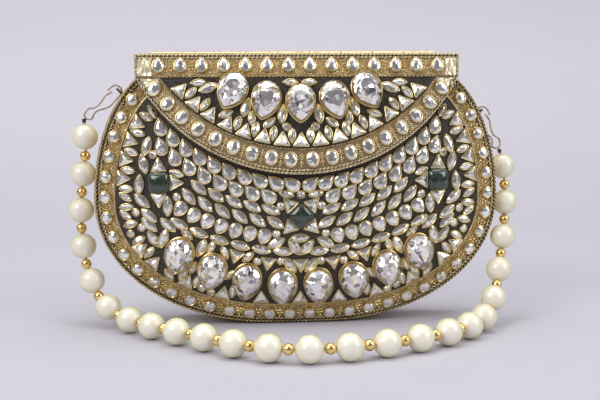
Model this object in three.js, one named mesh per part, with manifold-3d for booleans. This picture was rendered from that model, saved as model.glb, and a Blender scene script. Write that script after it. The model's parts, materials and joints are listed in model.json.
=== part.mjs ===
// Kundan clutch bag: a domed metal clutch set with foil-backed stones, with a pearl strap.
// Millimetres. +X is the width, -Y faces the viewer, +Z is up. The origin is under the middle of the bag.
import * as THREE from "three";
import { mergeVertices } from "three/addons/utils/BufferGeometryUtils.js";
import Module from "manifold-3d";

const wasm = await Module();
wasm.setup();

// Outline of the bag, seen from the front
const bagWidth = 204; // at the widest
const bagHeight = 136; // floor to the top of the closed flap
const neckWidth = 161; // across the straight sides under the flap's band
const shoulderDrop = 12; // from the flap's top face down to where the sides flare out
const widestHeight = 64;
const footLength = 24; // flat stretch at the bottom that the bag stands on
const lowerFullness = 0.6; // how square the lower corners are, from 0 to 1

// Depth of the bag
const gussetDepth = 22;
const domeRise = 14; // how far each panel swells beyond its rim
const seatGap = 0.3; // between pieces that touch
const panelSheet = 1.4;
const gussetWall = 1.2;
const flapSheet = 1.4;
const liningCloth = 0.7;
const openingDrop = 2.8; // from the flap's top face down to the mouth of the bag

// Flap
const bandHeight = 11.5; // straight band along the top of the flap
const flapReach = 59; // from the flap's top face down to its lowest point
const flapBorder = 12.8; // width of the curved border, edge rope included
const magnetThickness = 0.9;
const magnetRadius = 6;
const magnetRise = 9; // from the flap's lowest point up to the middle of the magnets
const magnetSlack = 0.5; // room for the flat magnets between the two domed sheets
const liningInset = 2.4; // from the flap's edge to its lining

// Border of the front panel
const edgeRope = 2.8; // width of the two ropes that run round the edge
const ropeRise = 1.3;
const ropeWidth = 1.8; // single ropes along the flap's edges
const ropeSeat = 0.2; // by which their middle lies in the solder, below the flap's face
const panelBorder = 10.8; // width of the border, ropes included
const wireRise = 0.7; // plain wire that closes the border towards the stones
const rimInset = 0.5; // by which the panel stays inside the gusset's outer face

// Stones: sizes over the bezel as length and width, rises above the ground
const stoneRise = 1.8;
const stoneRoot = 0.8; // by which a stone's bezel is sunk into the ground
const stoneTable = 0.6; // share of a stone's size that its flat table takes
const stoneGap = 0.1;
const stoneSizes = {
  round: [4, 4],
  border: [5.8, 5.8],
  oval: [7.6, 6.2],
  drop: [9, 6.7],
  bright_drop: [8, 6.7],
  band_drop: [7.6, 5.8],
  marquise: [10, 4.7],
  slim: [7.6, 3.7],
  triangle: [7.2, 8.2],
};
const crystalLength = 19;
const crystalWidth = 14.6;
const colletWall = 0.8;
const colletRise = 4.2;
const crystalRise = 3; // from the collet's lip up to the crystal's table
const crystalSeat = 2.6; // depth of the crystal below the collet's lip
const greenSide = 10.6;
const greenRise = 2.4;
const greenSeat = 1.6;

// Places of the large stones
const crystalArc = 117; // radius of the arc that the panel's crystals stand on
const crystalArcLow = 21.6; // height of that arc's lowest point
const crystalStep = 17.9; // from crystal to crystal along it
const fanArc = 92; // radius of the flap's arc of crystals
const fanDrop = 23.8; // from the flap's top face down to that arc's lowest point
const fanStep = 16.8;
const centreGreenDrop = 20.6; // from the flap's lowest point down to the green stone in the middle
const sideGreenInset = 32.5; // from the bag's side to the green stone there
const sideGreenLift = 9; // above the bag's widest height

// Rows of stones that run parallel to the flap's edge, each measured from that edge, with the stones' pitch,
// their lean in degrees, and the way along the row to the first one
const stoneRows = [
  { kind: "drop", away: 5.2, pitch: 7.9, lean: 54, first: 4.5 },
  { kind: "drop", away: 12, pitch: 8.3, lean: 54, first: 16 },
  { kind: "marquise", away: 18.2, pitch: 9.2, lean: 72, first: 15 },
  { kind: "marquise", away: 24.4, pitch: 8.9, lean: 64, first: 12.6 },
  { kind: "bright_drop", away: 31.6, pitch: 7.2, lean: 170, first: 11 },
  { kind: "marquise", away: 38.6, pitch: 10.6, lean: 88, first: 9 },
];
const ringPitch = 9.9; // from triangle to triangle round the panel's border
const flapRingPitch = 9.7;
const gapTriangleRise = 9.6; // from the arc of crystals up to the triangles over its gaps
const secondRing = 11.6; // from the border in to the second ring of marquises
const secondRingPitch = 9.6;
const borderPitch = 10.15;
const ovalPitch = 10.25;
const ovalsPerSide = 9;
const bandStoneCount = 14;

// Strap
const pearlDiameter = 13;
const pearlBore = 1.6;
const pearlCount = 24;
const strapPitch = 18.45; // from pearl to pearl along the thread
const threadDiameter = 1;
const spacerDiameter = 5.4;
const crimpDiameter = 2;
const beadReach = 0.45; // from a bead's middle to its ends, as a share of its diameter
const hookWire = 0.9;
const hookReach = 21.6; // from the lug's bow to the eye that holds the thread
const lugWire = 1.2;
const lugReach = 3.6; // from the gusset to the middle of the bow
const lugSpread = 4.6; // between the two legs
const leftLugDrop = 19.8; // from the flap's top face down to each lug
const rightLugDrop = 30.8;
const leftHookLean = 50; // degrees from straight down, away from the bag
const rightHookLean = 25.6;

// Piano hinge
const hingeLength = 148;
const knuckleCount = 9;
const knuckleRadius = 1.8;
const knuckleGap = 0.4;
const pinRadius = 0.8;
const pinClearance = 0.3;
const leafSheet = 0.6;
const bodyLeafWidth = 11;
const flapLeafWidth = 11;

const half = bagWidth / 2;
const shoulderHeight = bagHeight - shoulderDrop;
const neck = neckWidth / 2;
const rimPlane = gussetDepth / 2 + seatGap;
const mouthHeight = bagHeight - openingDrop;
const domeCentre = bagHeight / 2 - 2;
const flapGap = 2 * magnetThickness + 3 * seatGap + magnetSlack;

// Closed skin over a stack of rings. Neighbouring rings may have different numbers of points.
function skin(rings, firstTip, lastTip) {
  const points = rings.flat();
  const faces = [];
  let low = 0;
  for (let k = 0; k + 1 < rings.length; k++) {
    const below = rings[k].length;
    const above = rings[k + 1].length;
    const high = low + below;
    let i = 0;
    let j = 0;
    while (i < below || j < above) {
      const a = low + (i % below);
      const b = high + (j % above);
      if (i < below && (i + 1) * above <= (j + 1) * below) {
        i++;
        faces.push(a, low + (i % below), b);
      } else {
        j++;
        faces.push(a, high + (j % above), b);
      }
    }
    low = high;
  }
  closeEnd(points, faces, 0, rings[0].length, firstTip, false);
  closeEnd(points, faces, low, rings.at(-1).length, lastTip, true);
  return new THREE.BufferGeometry().setFromPoints(points).setIndex(faces);
}

// An end ring is closed by a fan, from a tip if it has one and otherwise from its own first point.
function closeEnd(points, faces, from, count, tip, facesUp) {
  const hub = tip ? points.push(tip) - 1 : from;
  for (let i = tip ? 0 : 1; i < (tip ? count : count - 1); i++) {
    const a = from + i;
    const b = from + ((i + 1) % count);
    if (facesUp) faces.push(hub, a, b);
    else faces.push(hub, b, a);
  }
}

function solid(geometry) {
  const bare = geometry.clone();
  bare.deleteAttribute("normal");
  bare.deleteAttribute("uv");
  const merged = mergeVertices(bare, 1e-4);
  const vertProperties = merged.attributes.position.array;
  const triVerts = new Uint32Array(merged.index.array);
  return new wasm.Manifold(new wasm.Mesh({ numProp: 3, vertProperties, triVerts }));
}

function shape(body) {
  const made = body.getMesh();
  const geometry = new THREE.BufferGeometry();
  geometry.setAttribute("position", new THREE.BufferAttribute(new Float32Array(made.vertProperties), 3));
  geometry.setIndex(new THREE.BufferAttribute(new Uint32Array(made.triVerts), 1));
  return geometry;
}

function join(bodies) {
  return wasm.Manifold.union(bodies);
}

// Left half of the outline from the mouth down to the foot, as flat points (x, z).
function leftSide(top) {
  const flare = new THREE.CubicBezierCurve(
    new THREE.Vector2(-neck, shoulderHeight),
    new THREE.Vector2(-neck - 0.62 * (half - neck), shoulderHeight - 0.2 * (shoulderHeight - widestHeight)),
    new THREE.Vector2(-half, widestHeight + 0.42 * (shoulderHeight - widestHeight)),
    new THREE.Vector2(-half, widestHeight),
  );
  const belly = new THREE.CubicBezierCurve(
    new THREE.Vector2(-half, widestHeight),
    new THREE.Vector2(-half, widestHeight * (1 - lowerFullness)),
    new THREE.Vector2(-footLength / 2 - (half - footLength / 2) * (lowerFullness - 0.055), 0),
    new THREE.Vector2(-footLength / 2, 0),
  );
  return [new THREE.Vector2(-neck, top), ...flare.getPoints(5), ...belly.getPoints(11).slice(1)];
}

function bothSides(top) {
  const left = leftSide(top);
  return [...left, ...left.map((p) => new THREE.Vector2(-p.x, p.y)).reverse()];
}

// Closed outline, counter-clockwise as the viewer sees it.
function bagOutline(top) {
  const sides = bothSides(top);
  const topSteps = 6;
  for (let i = 1; i < topSteps; i++) sides.push(new THREE.Vector2(neck - (neckWidth * i) / topSteps, top));
  return sides;
}

// Each point of a loop moved inwards by a distance, with mitred corners.
function inset(loop, distance) {
  return loop.map((p, i) => {
    const before = loop[(i + loop.length - 1) % loop.length];
    const after = loop[(i + 1) % loop.length];
    const a = p.clone().sub(before).normalize();
    const b = after.clone().sub(p).normalize();
    const inward = new THREE.Vector2(-a.y - b.y, a.x + b.x);
    return p.clone().addScaledVector(inward, distance / (1 + a.dot(b)));
  });
}

// Distance from the dome's centre to the outline along a direction.
const fullOutline = bagOutline(bagHeight);
function outlineReach(angle) {
  const dx = Math.cos(angle);
  const dz = Math.sin(angle);
  let reach = half;
  fullOutline.forEach((p, i) => {
    const q = fullOutline[(i + 1) % fullOutline.length];
    const px = p.x;
    const pz = p.y - domeCentre;
    const ex = q.x - p.x;
    const ez = q.y - p.y;
    const cross = dx * ez - dz * ex;
    if (Math.abs(cross) < 1e-9) return;
    const along = (px * ez - pz * ex) / cross;
    const share = (px * dz - pz * dx) / cross;
    if (along > 0 && share >= -1e-6 && share <= 1 + 1e-6) reach = along;
  });
  return reach;
}

// The dome's level lines pass from the outline at the rim to an ellipse in the middle.
function domeAt(x, z) {
  const radius = Math.hypot(x, z - domeCentre);
  if (radius < 1e-6) return domeRise;
  const angle = Math.atan2(z - domeCentre, x);
  const reach = outlineReach(angle);
  const round = 1 / Math.hypot(Math.cos(angle) / half, Math.sin(angle) / (bagHeight / 2));
  let low = 0;
  let high = 1.3;
  for (let i = 0; i < 24; i++) {
    const level = (low + high) / 2;
    const blend = Math.min(1, level ** 3);
    if (level * (round + (reach - round) * blend) < radius) low = level;
    else high = level;
  }
  return domeRise * Math.max(0, 1 - low * low);
}

// The point on a dome set forward by a distance, and the frame that stands on it.
function onDome(x, z, forward) {
  return new THREE.Vector3(x, -(rimPlane + forward + domeAt(x, z)), z);
}

function domeFrame(x, z, forward, turn) {
  const step = 0.5;
  const slopeX = (domeAt(x + step, z) - domeAt(x - step, z)) / (2 * step);
  const slopeZ = (domeAt(x, z + step) - domeAt(x, z - step)) / (2 * step);
  const out = new THREE.Vector3(-slopeX, -1, -slopeZ).normalize();
  const across = new THREE.Vector3(1, 0, 0).addScaledVector(out, -out.x).normalize();
  const up = new THREE.Vector3().crossVectors(out, across);
  const frame = new THREE.Matrix4().makeBasis(across, up, out);
  frame.multiply(new THREE.Matrix4().makeRotationZ(turn));
  return frame.setPosition(onDome(x, z, forward));
}

// Flat outlines of the stones, long axis upwards, counter-clockwise
function stoneOutline(kind, length, width) {
  const v = (x, y) => new THREE.Vector2(x * width, y * length);
  if (kind === "triangle") return [v(0, 0.55), v(-0.5, -0.45), v(0.5, -0.45)];
  if (kind === "slim" || kind === "marquise") return [v(0, 0.5), v(-0.5, 0), v(0, -0.5), v(0.5, 0)];
  if (kind.endsWith("drop")) return [v(0, 0.55), v(-0.45, 0), v(-0.3, -0.42), v(0.3, -0.42), v(0.45, 0)];
  const sides = kind === "round" ? 5 : 6;
  return Array.from({ length: sides }, (_, i) => {
    const angle = (2 * Math.PI * (i + 0.5)) / sides;
    return new THREE.Vector2((-Math.sin(angle) * width) / 2, (Math.cos(angle) * length) / 2);
  });
}

function pearOutline(length, width, points) {
  return Array.from({ length: points }, (_, i) => {
    const angle = (2 * Math.PI * i) / points;
    const lean = Math.cos(angle);
    const narrow = 1 - 0.36 * Math.max(0, lean) ** 2;
    const reach = length * (lean > 0 ? 0.56 : 0.44);
    return new THREE.Vector2((-Math.sin(angle) * width * narrow) / 2, lean * reach);
  });
}

function level(outline, height, scale = 1) {
  return outline.map((p) => new THREE.Vector3(p.x * scale, p.y * scale, height));
}

// A flat outline turned and moved to its place on the panel
function placed(outline, place) {
  const at = new THREE.Vector2(place.x, place.z);
  return outline.map((p) => p.clone().rotateAround(new THREE.Vector2(), place.turn).add(at));
}

// True where two convex outlines stay apart by more than a gap.
function clearOf(a, b, gap) {
  for (const [one, other] of [[a, b], [b, a]]) {
    for (let i = 0; i < one.length; i++) {
      const p = one[i];
      const q = one[(i + 1) % one.length];
      const out = new THREE.Vector2(q.y - p.y, p.x - q.x).normalize();
      const reach = Math.max(...one.map((c) => c.dot(out)));
      if (Math.min(...other.map((c) => c.dot(out))) > reach + gap) return true;
    }
  }
  return false;
}

// A field of stones: each one is kept where it stays inside the field and clear of those laid before.
class Field {
  constructor(inside) {
    this.inside = inside;
    this.stones = [];
  }

  lay(kind, x, z, turn, mirrored = true) {
    const [length, width] = stoneSizes[kind];
    const outline = placed(stoneOutline(kind, length, width), { x, z, turn });
    const free = outline.every((p) => this.inside(p.x, p.y))
      && this.stones.every((s) => s.far(x, z, length) || clearOf(s.outline, outline, stoneGap));
    if (!free) return false;
    const reach = length * 0.6;
    const far = (a, b, l) => Math.hypot(a - x, b - z) > reach + l * 0.6 + stoneGap;
    this.stones.push({ kind, x, z, turn, outline, far });
    if (mirrored && Math.abs(x) > 0.01) this.lay(kind, -x, z, -turn, false);
    return true;
  }
}

// Curve of the flap's lower edge: an arc through the lower corners of its band and its lowest point.
const flapBottom = bagHeight - flapReach;
const bandBottom = bagHeight - bandHeight;
const arcRise = bandBottom - flapBottom;
const flapRadius = (neck ** 2 + arcRise ** 2) / (2 * arcRise);
const arcCentre = flapBottom + flapRadius;
const innerRadius = flapRadius - flapBorder + 5.5; // the curved border narrows towards its ends
const innerCentre = flapBottom + flapBorder + innerRadius;

const fieldLine = inset(bagOutline(mouthHeight), panelBorder);
const borderLine = inset(bagOutline(mouthHeight), edgeRope + stoneSizes.border[0] / 2 + stoneGap);

// Points at even steps along the lower stretch of a loop, from the middle of the bottom out to the left
function alongLeft(loop, start, pitch) {
  const points = leftSide(mouthHeight).length;
  const path = loop.slice(0, points).reverse();
  path.unshift(new THREE.Vector2(0, path[0].y));
  const stops = [];
  let walked = 0;
  let next = start;
  for (let i = 0; i + 1 < path.length; i++) {
    const step = path[i + 1].clone().sub(path[i]);
    const length = step.length();
    while (next <= walked + length) {
      const at = path[i].clone().addScaledVector(step, (next - walked) / length);
      stops.push({ x: at.x, z: at.y, turn: Math.atan2(step.y, step.x) - Math.PI });
      next += pitch;
    }
    walked += length;
  }
  return stops;
}

const underFlap = (x, z) => z > bandBottom || Math.hypot(x, z - arcCentre) < flapRadius + 1;

// True where a point lies inside a loop: a level line from it crosses the loop an odd number of times.
function insideLoop(loop, x, z) {
  const crossings = loop.filter((p, i) => {
    const q = loop[(i + 1) % loop.length];
    return p.y > z !== q.y > z && x < p.x + ((z - p.y) * (q.x - p.x)) / (q.y - p.y);
  });
  return crossings.length % 2 === 1;
}

const panelGround = inset(bagOutline(mouthHeight), panelBorder + 0.2);
const panelField = new Field((x, z) => insideLoop(panelGround, x, z) && !underFlap(x, z));

// Crystals on the panel stand on a wide arc near the bottom, tips down.
const panelCrystals = [-3.5, -2.5, -1.5, -0.5, 0.5, 1.5, 2.5, 3.5].map((place) => {
  const swing = (place * crystalStep) / crystalArc;
  return {
    x: crystalArc * Math.sin(swing),
    z: crystalArcLow + crystalArc * (1 - Math.cos(swing)),
    turn: Math.PI + swing * 0.5,
  };
});

// Crystals on the flap fan out under the band.
const fanLow = bagHeight - fanDrop;
const flapCrystals = [-2, -1, 0, 1, 2].map((place) => {
  const swing = (place * fanStep) / fanArc;
  return {
    x: fanArc * Math.sin(swing),
    z: fanLow + fanArc * (1 - Math.cos(swing)),
    turn: Math.PI + swing * 1.25,
  };
});

const sideGreenX = half - sideGreenInset;
const sideGreenZ = widestHeight + sideGreenLift;
const greens = [
  { name: "green_stone_left", x: -sideGreenX, z: sideGreenZ, turn: 0 },
  { name: "green_stone_centre", x: 0, z: flapBottom - centreGreenDrop, turn: Math.PI / 4 },
  { name: "green_stone_right", x: sideGreenX, z: sideGreenZ, turn: 0 },
];

function reserve(field, place, outline) {
  const far = (a, b, l) => Math.hypot(a - place.x, b - place.z) > crystalLength * 0.6 + l * 0.6;
  field.stones.push({ kind: "held", outline: placed(outline, place), far });
}

const colletOutline = pearOutline(crystalLength, crystalWidth, 8);
const squareCorners = [[-1, -1], [1, -1], [1, 1], [-1, 1]];
const squareOutline = squareCorners.map(([x, y]) => new THREE.Vector2(x, y).multiplyScalar(greenSide / 2));

function layPanel() {
  const field = panelField;
  panelCrystals.forEach((c) => reserve(field, c, colletOutline));
  greens.forEach((g) => reserve(field, g, squareOutline));
  const [triangleLength, triangleWidth] = stoneSizes.triangle;
  const away = greenSide / 2 + triangleLength * 0.45 + 2 * stoneGap;
  const [side, centre] = greens;
  const beside = (green, turn) => [green.x - away * Math.sin(turn), green.z + away * Math.cos(turn), turn];
  for (const quarter of [0, 1, 2, 3]) {
    const turn = (quarter * Math.PI) / 2;
    field.lay("triangle", ...beside(centre, turn + Math.PI / 4), false);
    if (quarter !== 1) field.lay("triangle", ...beside(side, turn));
  }
  // Ring of triangles on the border line, with slim marquises between them and a round at each tip
  const slimLength = stoneSizes.slim[0];
  const ring = alongLeft(fieldLine, 0, ringPitch);
  const between = alongLeft(fieldLine, ringPitch / 2, ringPitch);
  const inwards = (stop, reach) => {
    const { x, z, turn } = stop;
    return [x - Math.sin(turn) * reach, z + Math.cos(turn) * reach, turn];
  };
  ring.forEach((stop) => field.lay("triangle", ...inwards(stop, triangleLength * 0.45 + 0.5)));
  between.forEach((stop) => field.lay("slim", ...inwards(stop, slimLength * 0.5 + 1.6)));
  for (const row of stoneRows) {
    const radius = flapRadius + row.away;
    for (let walked = row.first; walked < radius * 1.25; walked += row.pitch) {
      const swing = walked / radius;
      const turn = THREE.MathUtils.degToRad(row.lean) - swing;
      field.lay(row.kind, -radius * Math.sin(swing), arcCentre - radius * Math.cos(swing), turn);
    }
  }
  // Around the centre stone: slim ones over it and a short row of bright drops under it
  field.lay("round", 0, centre.z + 10.6, 0);
  field.lay("slim", -7.2, centre.z + 10.8, THREE.MathUtils.degToRad(80));
  for (const place of [0.5, 1.5]) field.lay("bright_drop", -place * 7.6, centre.z - 14.2 + place * 0.4, 0);
  ring.forEach((stop) => field.lay("round", ...inwards(stop, triangleLength + 2.6)));
  // Triangles over the gaps between the crystals, and a marquise in each gap
  for (let i = 0; i < 4; i++) {
    const swing = (-(3 - i) * crystalStep) / crystalArc;
    const reach = (offset) => [
      (crystalArc + offset) * Math.sin(swing),
      crystalArcLow + crystalArc - (crystalArc + offset) * Math.cos(swing),
    ];
    field.lay("triangle", ...reach(-gapTriangleRise), Math.PI + swing);
    field.lay("slim", ...reach(3.4), swing);
  }
  // Second ring of marquises along the sides, and a last pass that fills what is left
  alongLeft(inset(bagOutline(mouthHeight), panelBorder + secondRing), 40, secondRingPitch)
    .forEach((stop) => field.lay("marquise", stop.x, stop.z, stop.turn + Math.PI / 2));
  fill(field, -half, panelBorder, 0, shoulderHeight, 2.3);
}

function fill(field, left, bottom, right, top, step) {
  for (const kind of ["marquise", "slim", "round"]) {
    for (let z = bottom; z < top; z += step) {
      for (let x = left; x <= right; x += step) {
        const around = Math.atan2(domeCentre - z, x);
        for (const turn of kind === "round" ? [0] : [around, around + 1.05, around - 1.05]) {
          if (field.lay(kind, x, z, turn)) break;
        }
      }
    }
  }
}

// The flap's field lies between the band and the inner line of the curved border.
const onFlap = (x, z) => z < bandBottom - 0.6 && Math.hypot(x, z - innerCentre) < innerRadius - 0.5;
const flapField = new Field(onFlap);

function layFlap() {
  const field = flapField;
  flapCrystals.forEach((c) => reserve(field, c, colletOutline));
  const [triangleLength] = stoneSizes.triangle;
  const slimLength = stoneSizes.slim[0];
  const onArc = (walked, inward) => {
    const swing = walked / innerRadius;
    const radius = innerRadius - inward;
    return [-radius * Math.sin(swing), innerCentre - radius * Math.cos(swing), -swing];
  };
  for (let walked = 0; walked < innerRadius; walked += flapRingPitch) {
    field.lay("triangle", ...onArc(walked, triangleLength * 0.45 + 0.8));
  }
  for (let walked = flapRingPitch / 2; walked < innerRadius; walked += flapRingPitch) {
    field.lay("slim", ...onArc(walked, slimLength * 0.5 + 2.2));
  }
  // Marquises between the crystals' tips, and a row lying along the band
  const tips = fanArc + crystalLength / 3;
  for (const place of [0.5, 1.5]) {
    const swing = (place * fanStep) / fanArc;
    field.lay("marquise", -tips * Math.sin(swing), fanLow + fanArc - tips * Math.cos(swing), -swing);
  }
  for (let x = -4.6; x > -neck; x -= 9) field.lay("slim", x, bandBottom - 3, Math.PI / 2);
  fill(field, -neck, flapBottom, 0, bandBottom, 2.1);
}

layPanel();
layFlap();

// Stones of the borders: rounds on the panel's border, ovals on the flap's curved border, drops on its band
const panelBorderStones = [];
for (const stop of alongLeft(borderLine, borderPitch / 2, borderPitch)) {
  if (!underFlap(stop.x, stop.z)) {
    panelBorderStones.push({ kind: "border", ...stop });
    panelBorderStones.push({ kind: "border", x: -stop.x, z: stop.z, turn: -stop.turn });
  }
}
const flapBorderStones = [];
for (let i = 0; i < ovalsPerSide; i++) {
  const swing = ((i + 0.57) * ovalPitch) / flapRadius;
  const inward = flapBorder * (0.56 - 0.16 * (i / (ovalsPerSide - 1)) ** 2);
  const x = (flapRadius - inward) * Math.sin(swing);
  const z = arcCentre - (flapRadius - inward) * Math.cos(swing);
  flapBorderStones.push({ kind: "oval", x, z, turn: swing }, { kind: "oval", x: -x, z, turn: -swing });
}
const bandStoneStep = (neckWidth - 2 * bandHeight) / (bandStoneCount - 1);
for (let i = 0; i < bandStoneCount; i++) {
  const x = (i - (bandStoneCount - 1) / 2) * bandStoneStep;
  flapBorderStones.push({ kind: "band_drop", x, z: bandBottom + bandHeight * 0.47, turn: 0 });
}

// Slanted facets of a stone, which has its outline's size where it leaves the ground. They run on to the
// point where they meet, and all the points of a panel are cut off together to leave flat tables.
const stonePoint = stoneRise / (1 - stoneTable);
function stoneSolid(stone, forward) {
  const outline = stoneOutline(stone.kind, ...stoneSizes[stone.kind]);
  const root = level(outline, -stoneRoot, 1 + stoneRoot / stonePoint);
  const body = skin([root], undefined, new THREE.Vector3(0, 0, stonePoint));
  return solid(body.applyMatrix4(domeFrame(stone.x, stone.z, forward, stone.turn)));
}

// Open cup of sheet round a crystal or a green stone, standing on the ground of the panel
function collet(place, outline, rise, seat, forward) {
  const cup = skin([level(outline, -stoneRoot), level(outline, rise)]);
  const inner = inset(outline, colletWall);
  const pocket = skin([level(inner, rise - seat), level(inner, rise + 1)]);
  const frame = domeFrame(place.x, place.z, forward, place.turn);
  return [solid(cup.applyMatrix4(frame)), solid(pocket.applyMatrix4(frame))];
}

// Faceted stone in its cup: a short girdle, a crown of slanted facets and a flat table
function crystalBody(place, forward) {
  const girdle = inset(colletOutline, colletWall + seatGap);
  const floor = colletRise - crystalSeat + seatGap;
  const body = skin([
    level(girdle, floor, 0.8),
    level(girdle, colletRise),
    level(girdle, colletRise + crystalRise * 0.6, 0.84),
    level(girdle, colletRise + crystalRise, 0.5),
  ]);
  return body.applyMatrix4(domeFrame(place.x, place.z, forward, place.turn));
}

function greenBody(place, forward) {
  const girdle = inset(squareOutline, colletWall + seatGap);
  const body = skin([
    level(girdle, stoneRise - greenSeat + seatGap),
    level(girdle, stoneRise + greenRise * 0.3),
    level(girdle, stoneRise + greenRise * 0.75, 0.82),
    level(girdle, stoneRise + greenRise, 0.45),
  ]);
  return body.applyMatrix4(domeFrame(place.x, place.z, forward, place.turn));
}

// Domed sheet with a rim profile: each rim step is a distance from the edge and a lift over the sheet.
// Inside the border every sheet has the same rings, so that sheets that lie on each other stay parallel.
const groundLoop = inset(bagOutline(mouthHeight), rimInset + panelBorder);
function domedSheet(loop, sheet, rimSteps, back) {
  const centre = new THREE.Vector2(0, domeCentre);
  const lift = (points, forward) => points.map((p) => onDome(p.x, p.y, forward));
  const shrunk = ([share, every], forward) => {
    const kept = groundLoop.filter((p, i) => i % every === 0);
    return lift(kept.map((p) => centre.clone().lerp(p, share)), forward);
  };
  const innerRings = [[1, 1], [0.66, 3], [0.33, 6]];
  const rings = [
    ...innerRings.slice().reverse().map((ring) => shrunk(ring, back)),
    lift(loop, back),
    ...rimSteps.map(([distance, rise]) => lift(inset(loop, distance), back + sheet + rise)),
    ...innerRings.map((ring) => shrunk(ring, back + sheet)),
  ];
  return skin(rings, onDome(0, domeCentre, back), onDome(0, domeCentre, back + sheet));
}

function addMesh(group, name, geometry, material) {
  const mesh = new THREE.Mesh(geometry, material);
  mesh.name = name;
  group.add(mesh);
  return mesh;
}

const gilt = new THREE.MeshStandardMaterial({ color: 0xb99a55, roughness: 0.38, metalness: 0.9 });
const brass = new THREE.MeshStandardMaterial({ color: 0xa98c4c, roughness: 0.32, metalness: 0.95 });
const copperWire = new THREE.MeshStandardMaterial({ color: 0xb98262, roughness: 0.35, metalness: 0.9 });
const darkMetal = new THREE.MeshStandardMaterial({ color: 0x4a4238, roughness: 0.45, metalness: 0.8 });
const clearGlass = new THREE.MeshStandardMaterial({ color: 0xe9e6e4, roughness: 0.05, metalness: 0.1 });
const greenGlass = new THREE.MeshStandardMaterial({ color: 0x12382a, roughness: 0.12, metalness: 0 });
const pearlCoat = new THREE.MeshStandardMaterial({ color: 0xece5cc, roughness: 0.22, metalness: 0 });
const magnetPlate = new THREE.MeshStandardMaterial({ color: 0x8f8f8c, roughness: 0.3, metalness: 1 });
const velvet = new THREE.MeshStandardMaterial({ color: 0x3a1420, roughness: 0.95, metalness: 0 });

const bag = new THREE.Group();

// Panels
const ropeSteps = [
  [0, 0],
  [edgeRope / 2, ropeRise],
  [edgeRope, 0],
  [panelBorder - 0.9, 0],
  [panelBorder - 0.45, wireRise],
];
const panelLoop = inset(bagOutline(mouthHeight), rimInset);
const panelCups = [
  ...panelCrystals.map((c) => collet(c, colletOutline, colletRise, crystalSeat, panelSheet)),
  ...greens.map((g) => collet(g, squareOutline, stoneRise, greenSeat, panelSheet)),
];
const panelStones = [...panelField.stones.filter((s) => s.kind !== "held"), ...panelBorderStones];
const overTables = solid(domedSheet(panelLoop, 2 * stonePoint, [[0, 0]], panelSheet + stoneRise));
const frontPanel = join([
  solid(domedSheet(panelLoop, panelSheet, ropeSteps, 0)),
  ...panelStones.map((s) => stoneSolid(s, panelSheet)),
]).subtract(overTables)
  .add(join(panelCups.map(([cup]) => cup)))
  .subtract(join(panelCups.map(([, pocket]) => pocket)));
addMesh(bag, "front_panel", shape(frontPanel), gilt);

const plainSteps = ropeSteps.slice(0, 3);
addMesh(bag, "back_panel", domedSheet(panelLoop, panelSheet, plainSteps, 0), brass).scale.y = -1;

// Gusset: a strip bent round the sides and the foot, open at the mouth
function bentStrip(outer, inner, top, depth) {
  const loop = bothSides(top);
  const closed = bagOutline(top);
  const outside = inset(closed, outer).slice(0, loop.length);
  const inside = inset(closed, inner).slice(0, loop.length);
  for (const side of [outside, inside]) {
    side[0].y = top;
    side[side.length - 1].y = top;
  }
  const outline = new THREE.Shape([...outside, ...inside.reverse()]);
  const strip = new THREE.ExtrudeGeometry(outline, { depth, bevelEnabled: false });
  return strip.rotateX(Math.PI / 2).translate(0, depth / 2, 0);
}
addMesh(bag, "gusset", bentStrip(0, gussetWall, mouthHeight, gussetDepth), brass);

// Linings, each just inside the metal that it is glued to
const clothInset = gussetWall + seatGap + liningCloth + seatGap;
const clothLoop = inset(bagOutline(mouthHeight - seatGap), clothInset);
const frontLining = domedSheet(clothLoop, liningCloth, [[0, 0]], -2 * seatGap - liningCloth);
addMesh(bag, "front_lining", frontLining, velvet);
addMesh(bag, "back_lining", frontLining.clone(), velvet).scale.y = -1;
const clothSide = gussetWall + seatGap;
const clothDepth = gussetDepth - 2 * seatGap;
const clothStrip = bentStrip(clothSide, clothSide + liningCloth, mouthHeight - seatGap, clothDepth);
addMesh(bag, "gusset_lining", clothStrip, velvet);

// Flap: domed front over the panel, flat return over the mouth, ropes and stones
const flapBack = panelSheet + flapGap;
const flapFront = flapBack + flapSheet;
function flapOutline(shrink, top) {
  const reach = flapRadius - shrink;
  const side = neck - shrink;
  const swing = Math.asin(side / reach);
  const steps = 26;
  const points = [new THREE.Vector2(-side, top)];
  for (let i = 0; i <= steps; i++) {
    const angle = -swing + (2 * swing * i) / steps;
    points.push(new THREE.Vector2(reach * Math.sin(angle), arcCentre - reach * Math.cos(angle)));
  }
  points.push(new THREE.Vector2(side, top));
  return points;
}

// Sheet that follows the dome behind and over the whole flap, cut to shape afterwards
function domedSlab(back, front) {
  const columns = 10;
  const rows = 4;
  const width = neckWidth + 2;
  const bottom = flapBottom - 2;
  const top = bagHeight + 2;
  const wall = (forward) => {
    const sheet = [];
    for (let r = 0; r <= rows; r++) {
      for (let c = 0; c <= columns; c++) {
        sheet.push(onDome(width * (c / columns - 0.5), bottom + ((top - bottom) * r) / rows, forward));
      }
    }
    return sheet;
  };
  const points = [...wall(back), ...wall(front)];
  const across = columns + 1;
  const lift = points.length / 2;
  const faces = [];
  const quad = (a, b, c, d) => faces.push(a, b, c, a, c, d);
  for (let r = 0; r < rows; r++) {
    for (let c = 0; c < columns; c++) {
      const i = r * across + c;
      quad(i, i + across, i + across + 1, i + 1);
      quad(lift + i, lift + i + 1, lift + i + across + 1, lift + i + across);
    }
  }
  for (let c = 0; c < columns; c++) {
    const i = rows * across + c;
    quad(c, c + 1, lift + c + 1, lift + c);
    quad(i + 1, i, lift + i, lift + i + 1);
  }
  for (let r = 0; r < rows; r++) {
    const i = r * across;
    const j = i + columns;
    quad(i + across, i, lift + i, lift + i + across);
    quad(j, j + across, lift + j + across, lift + j);
  }
  return new THREE.BufferGeometry().setFromPoints(points).setIndex(faces);
}

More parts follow.
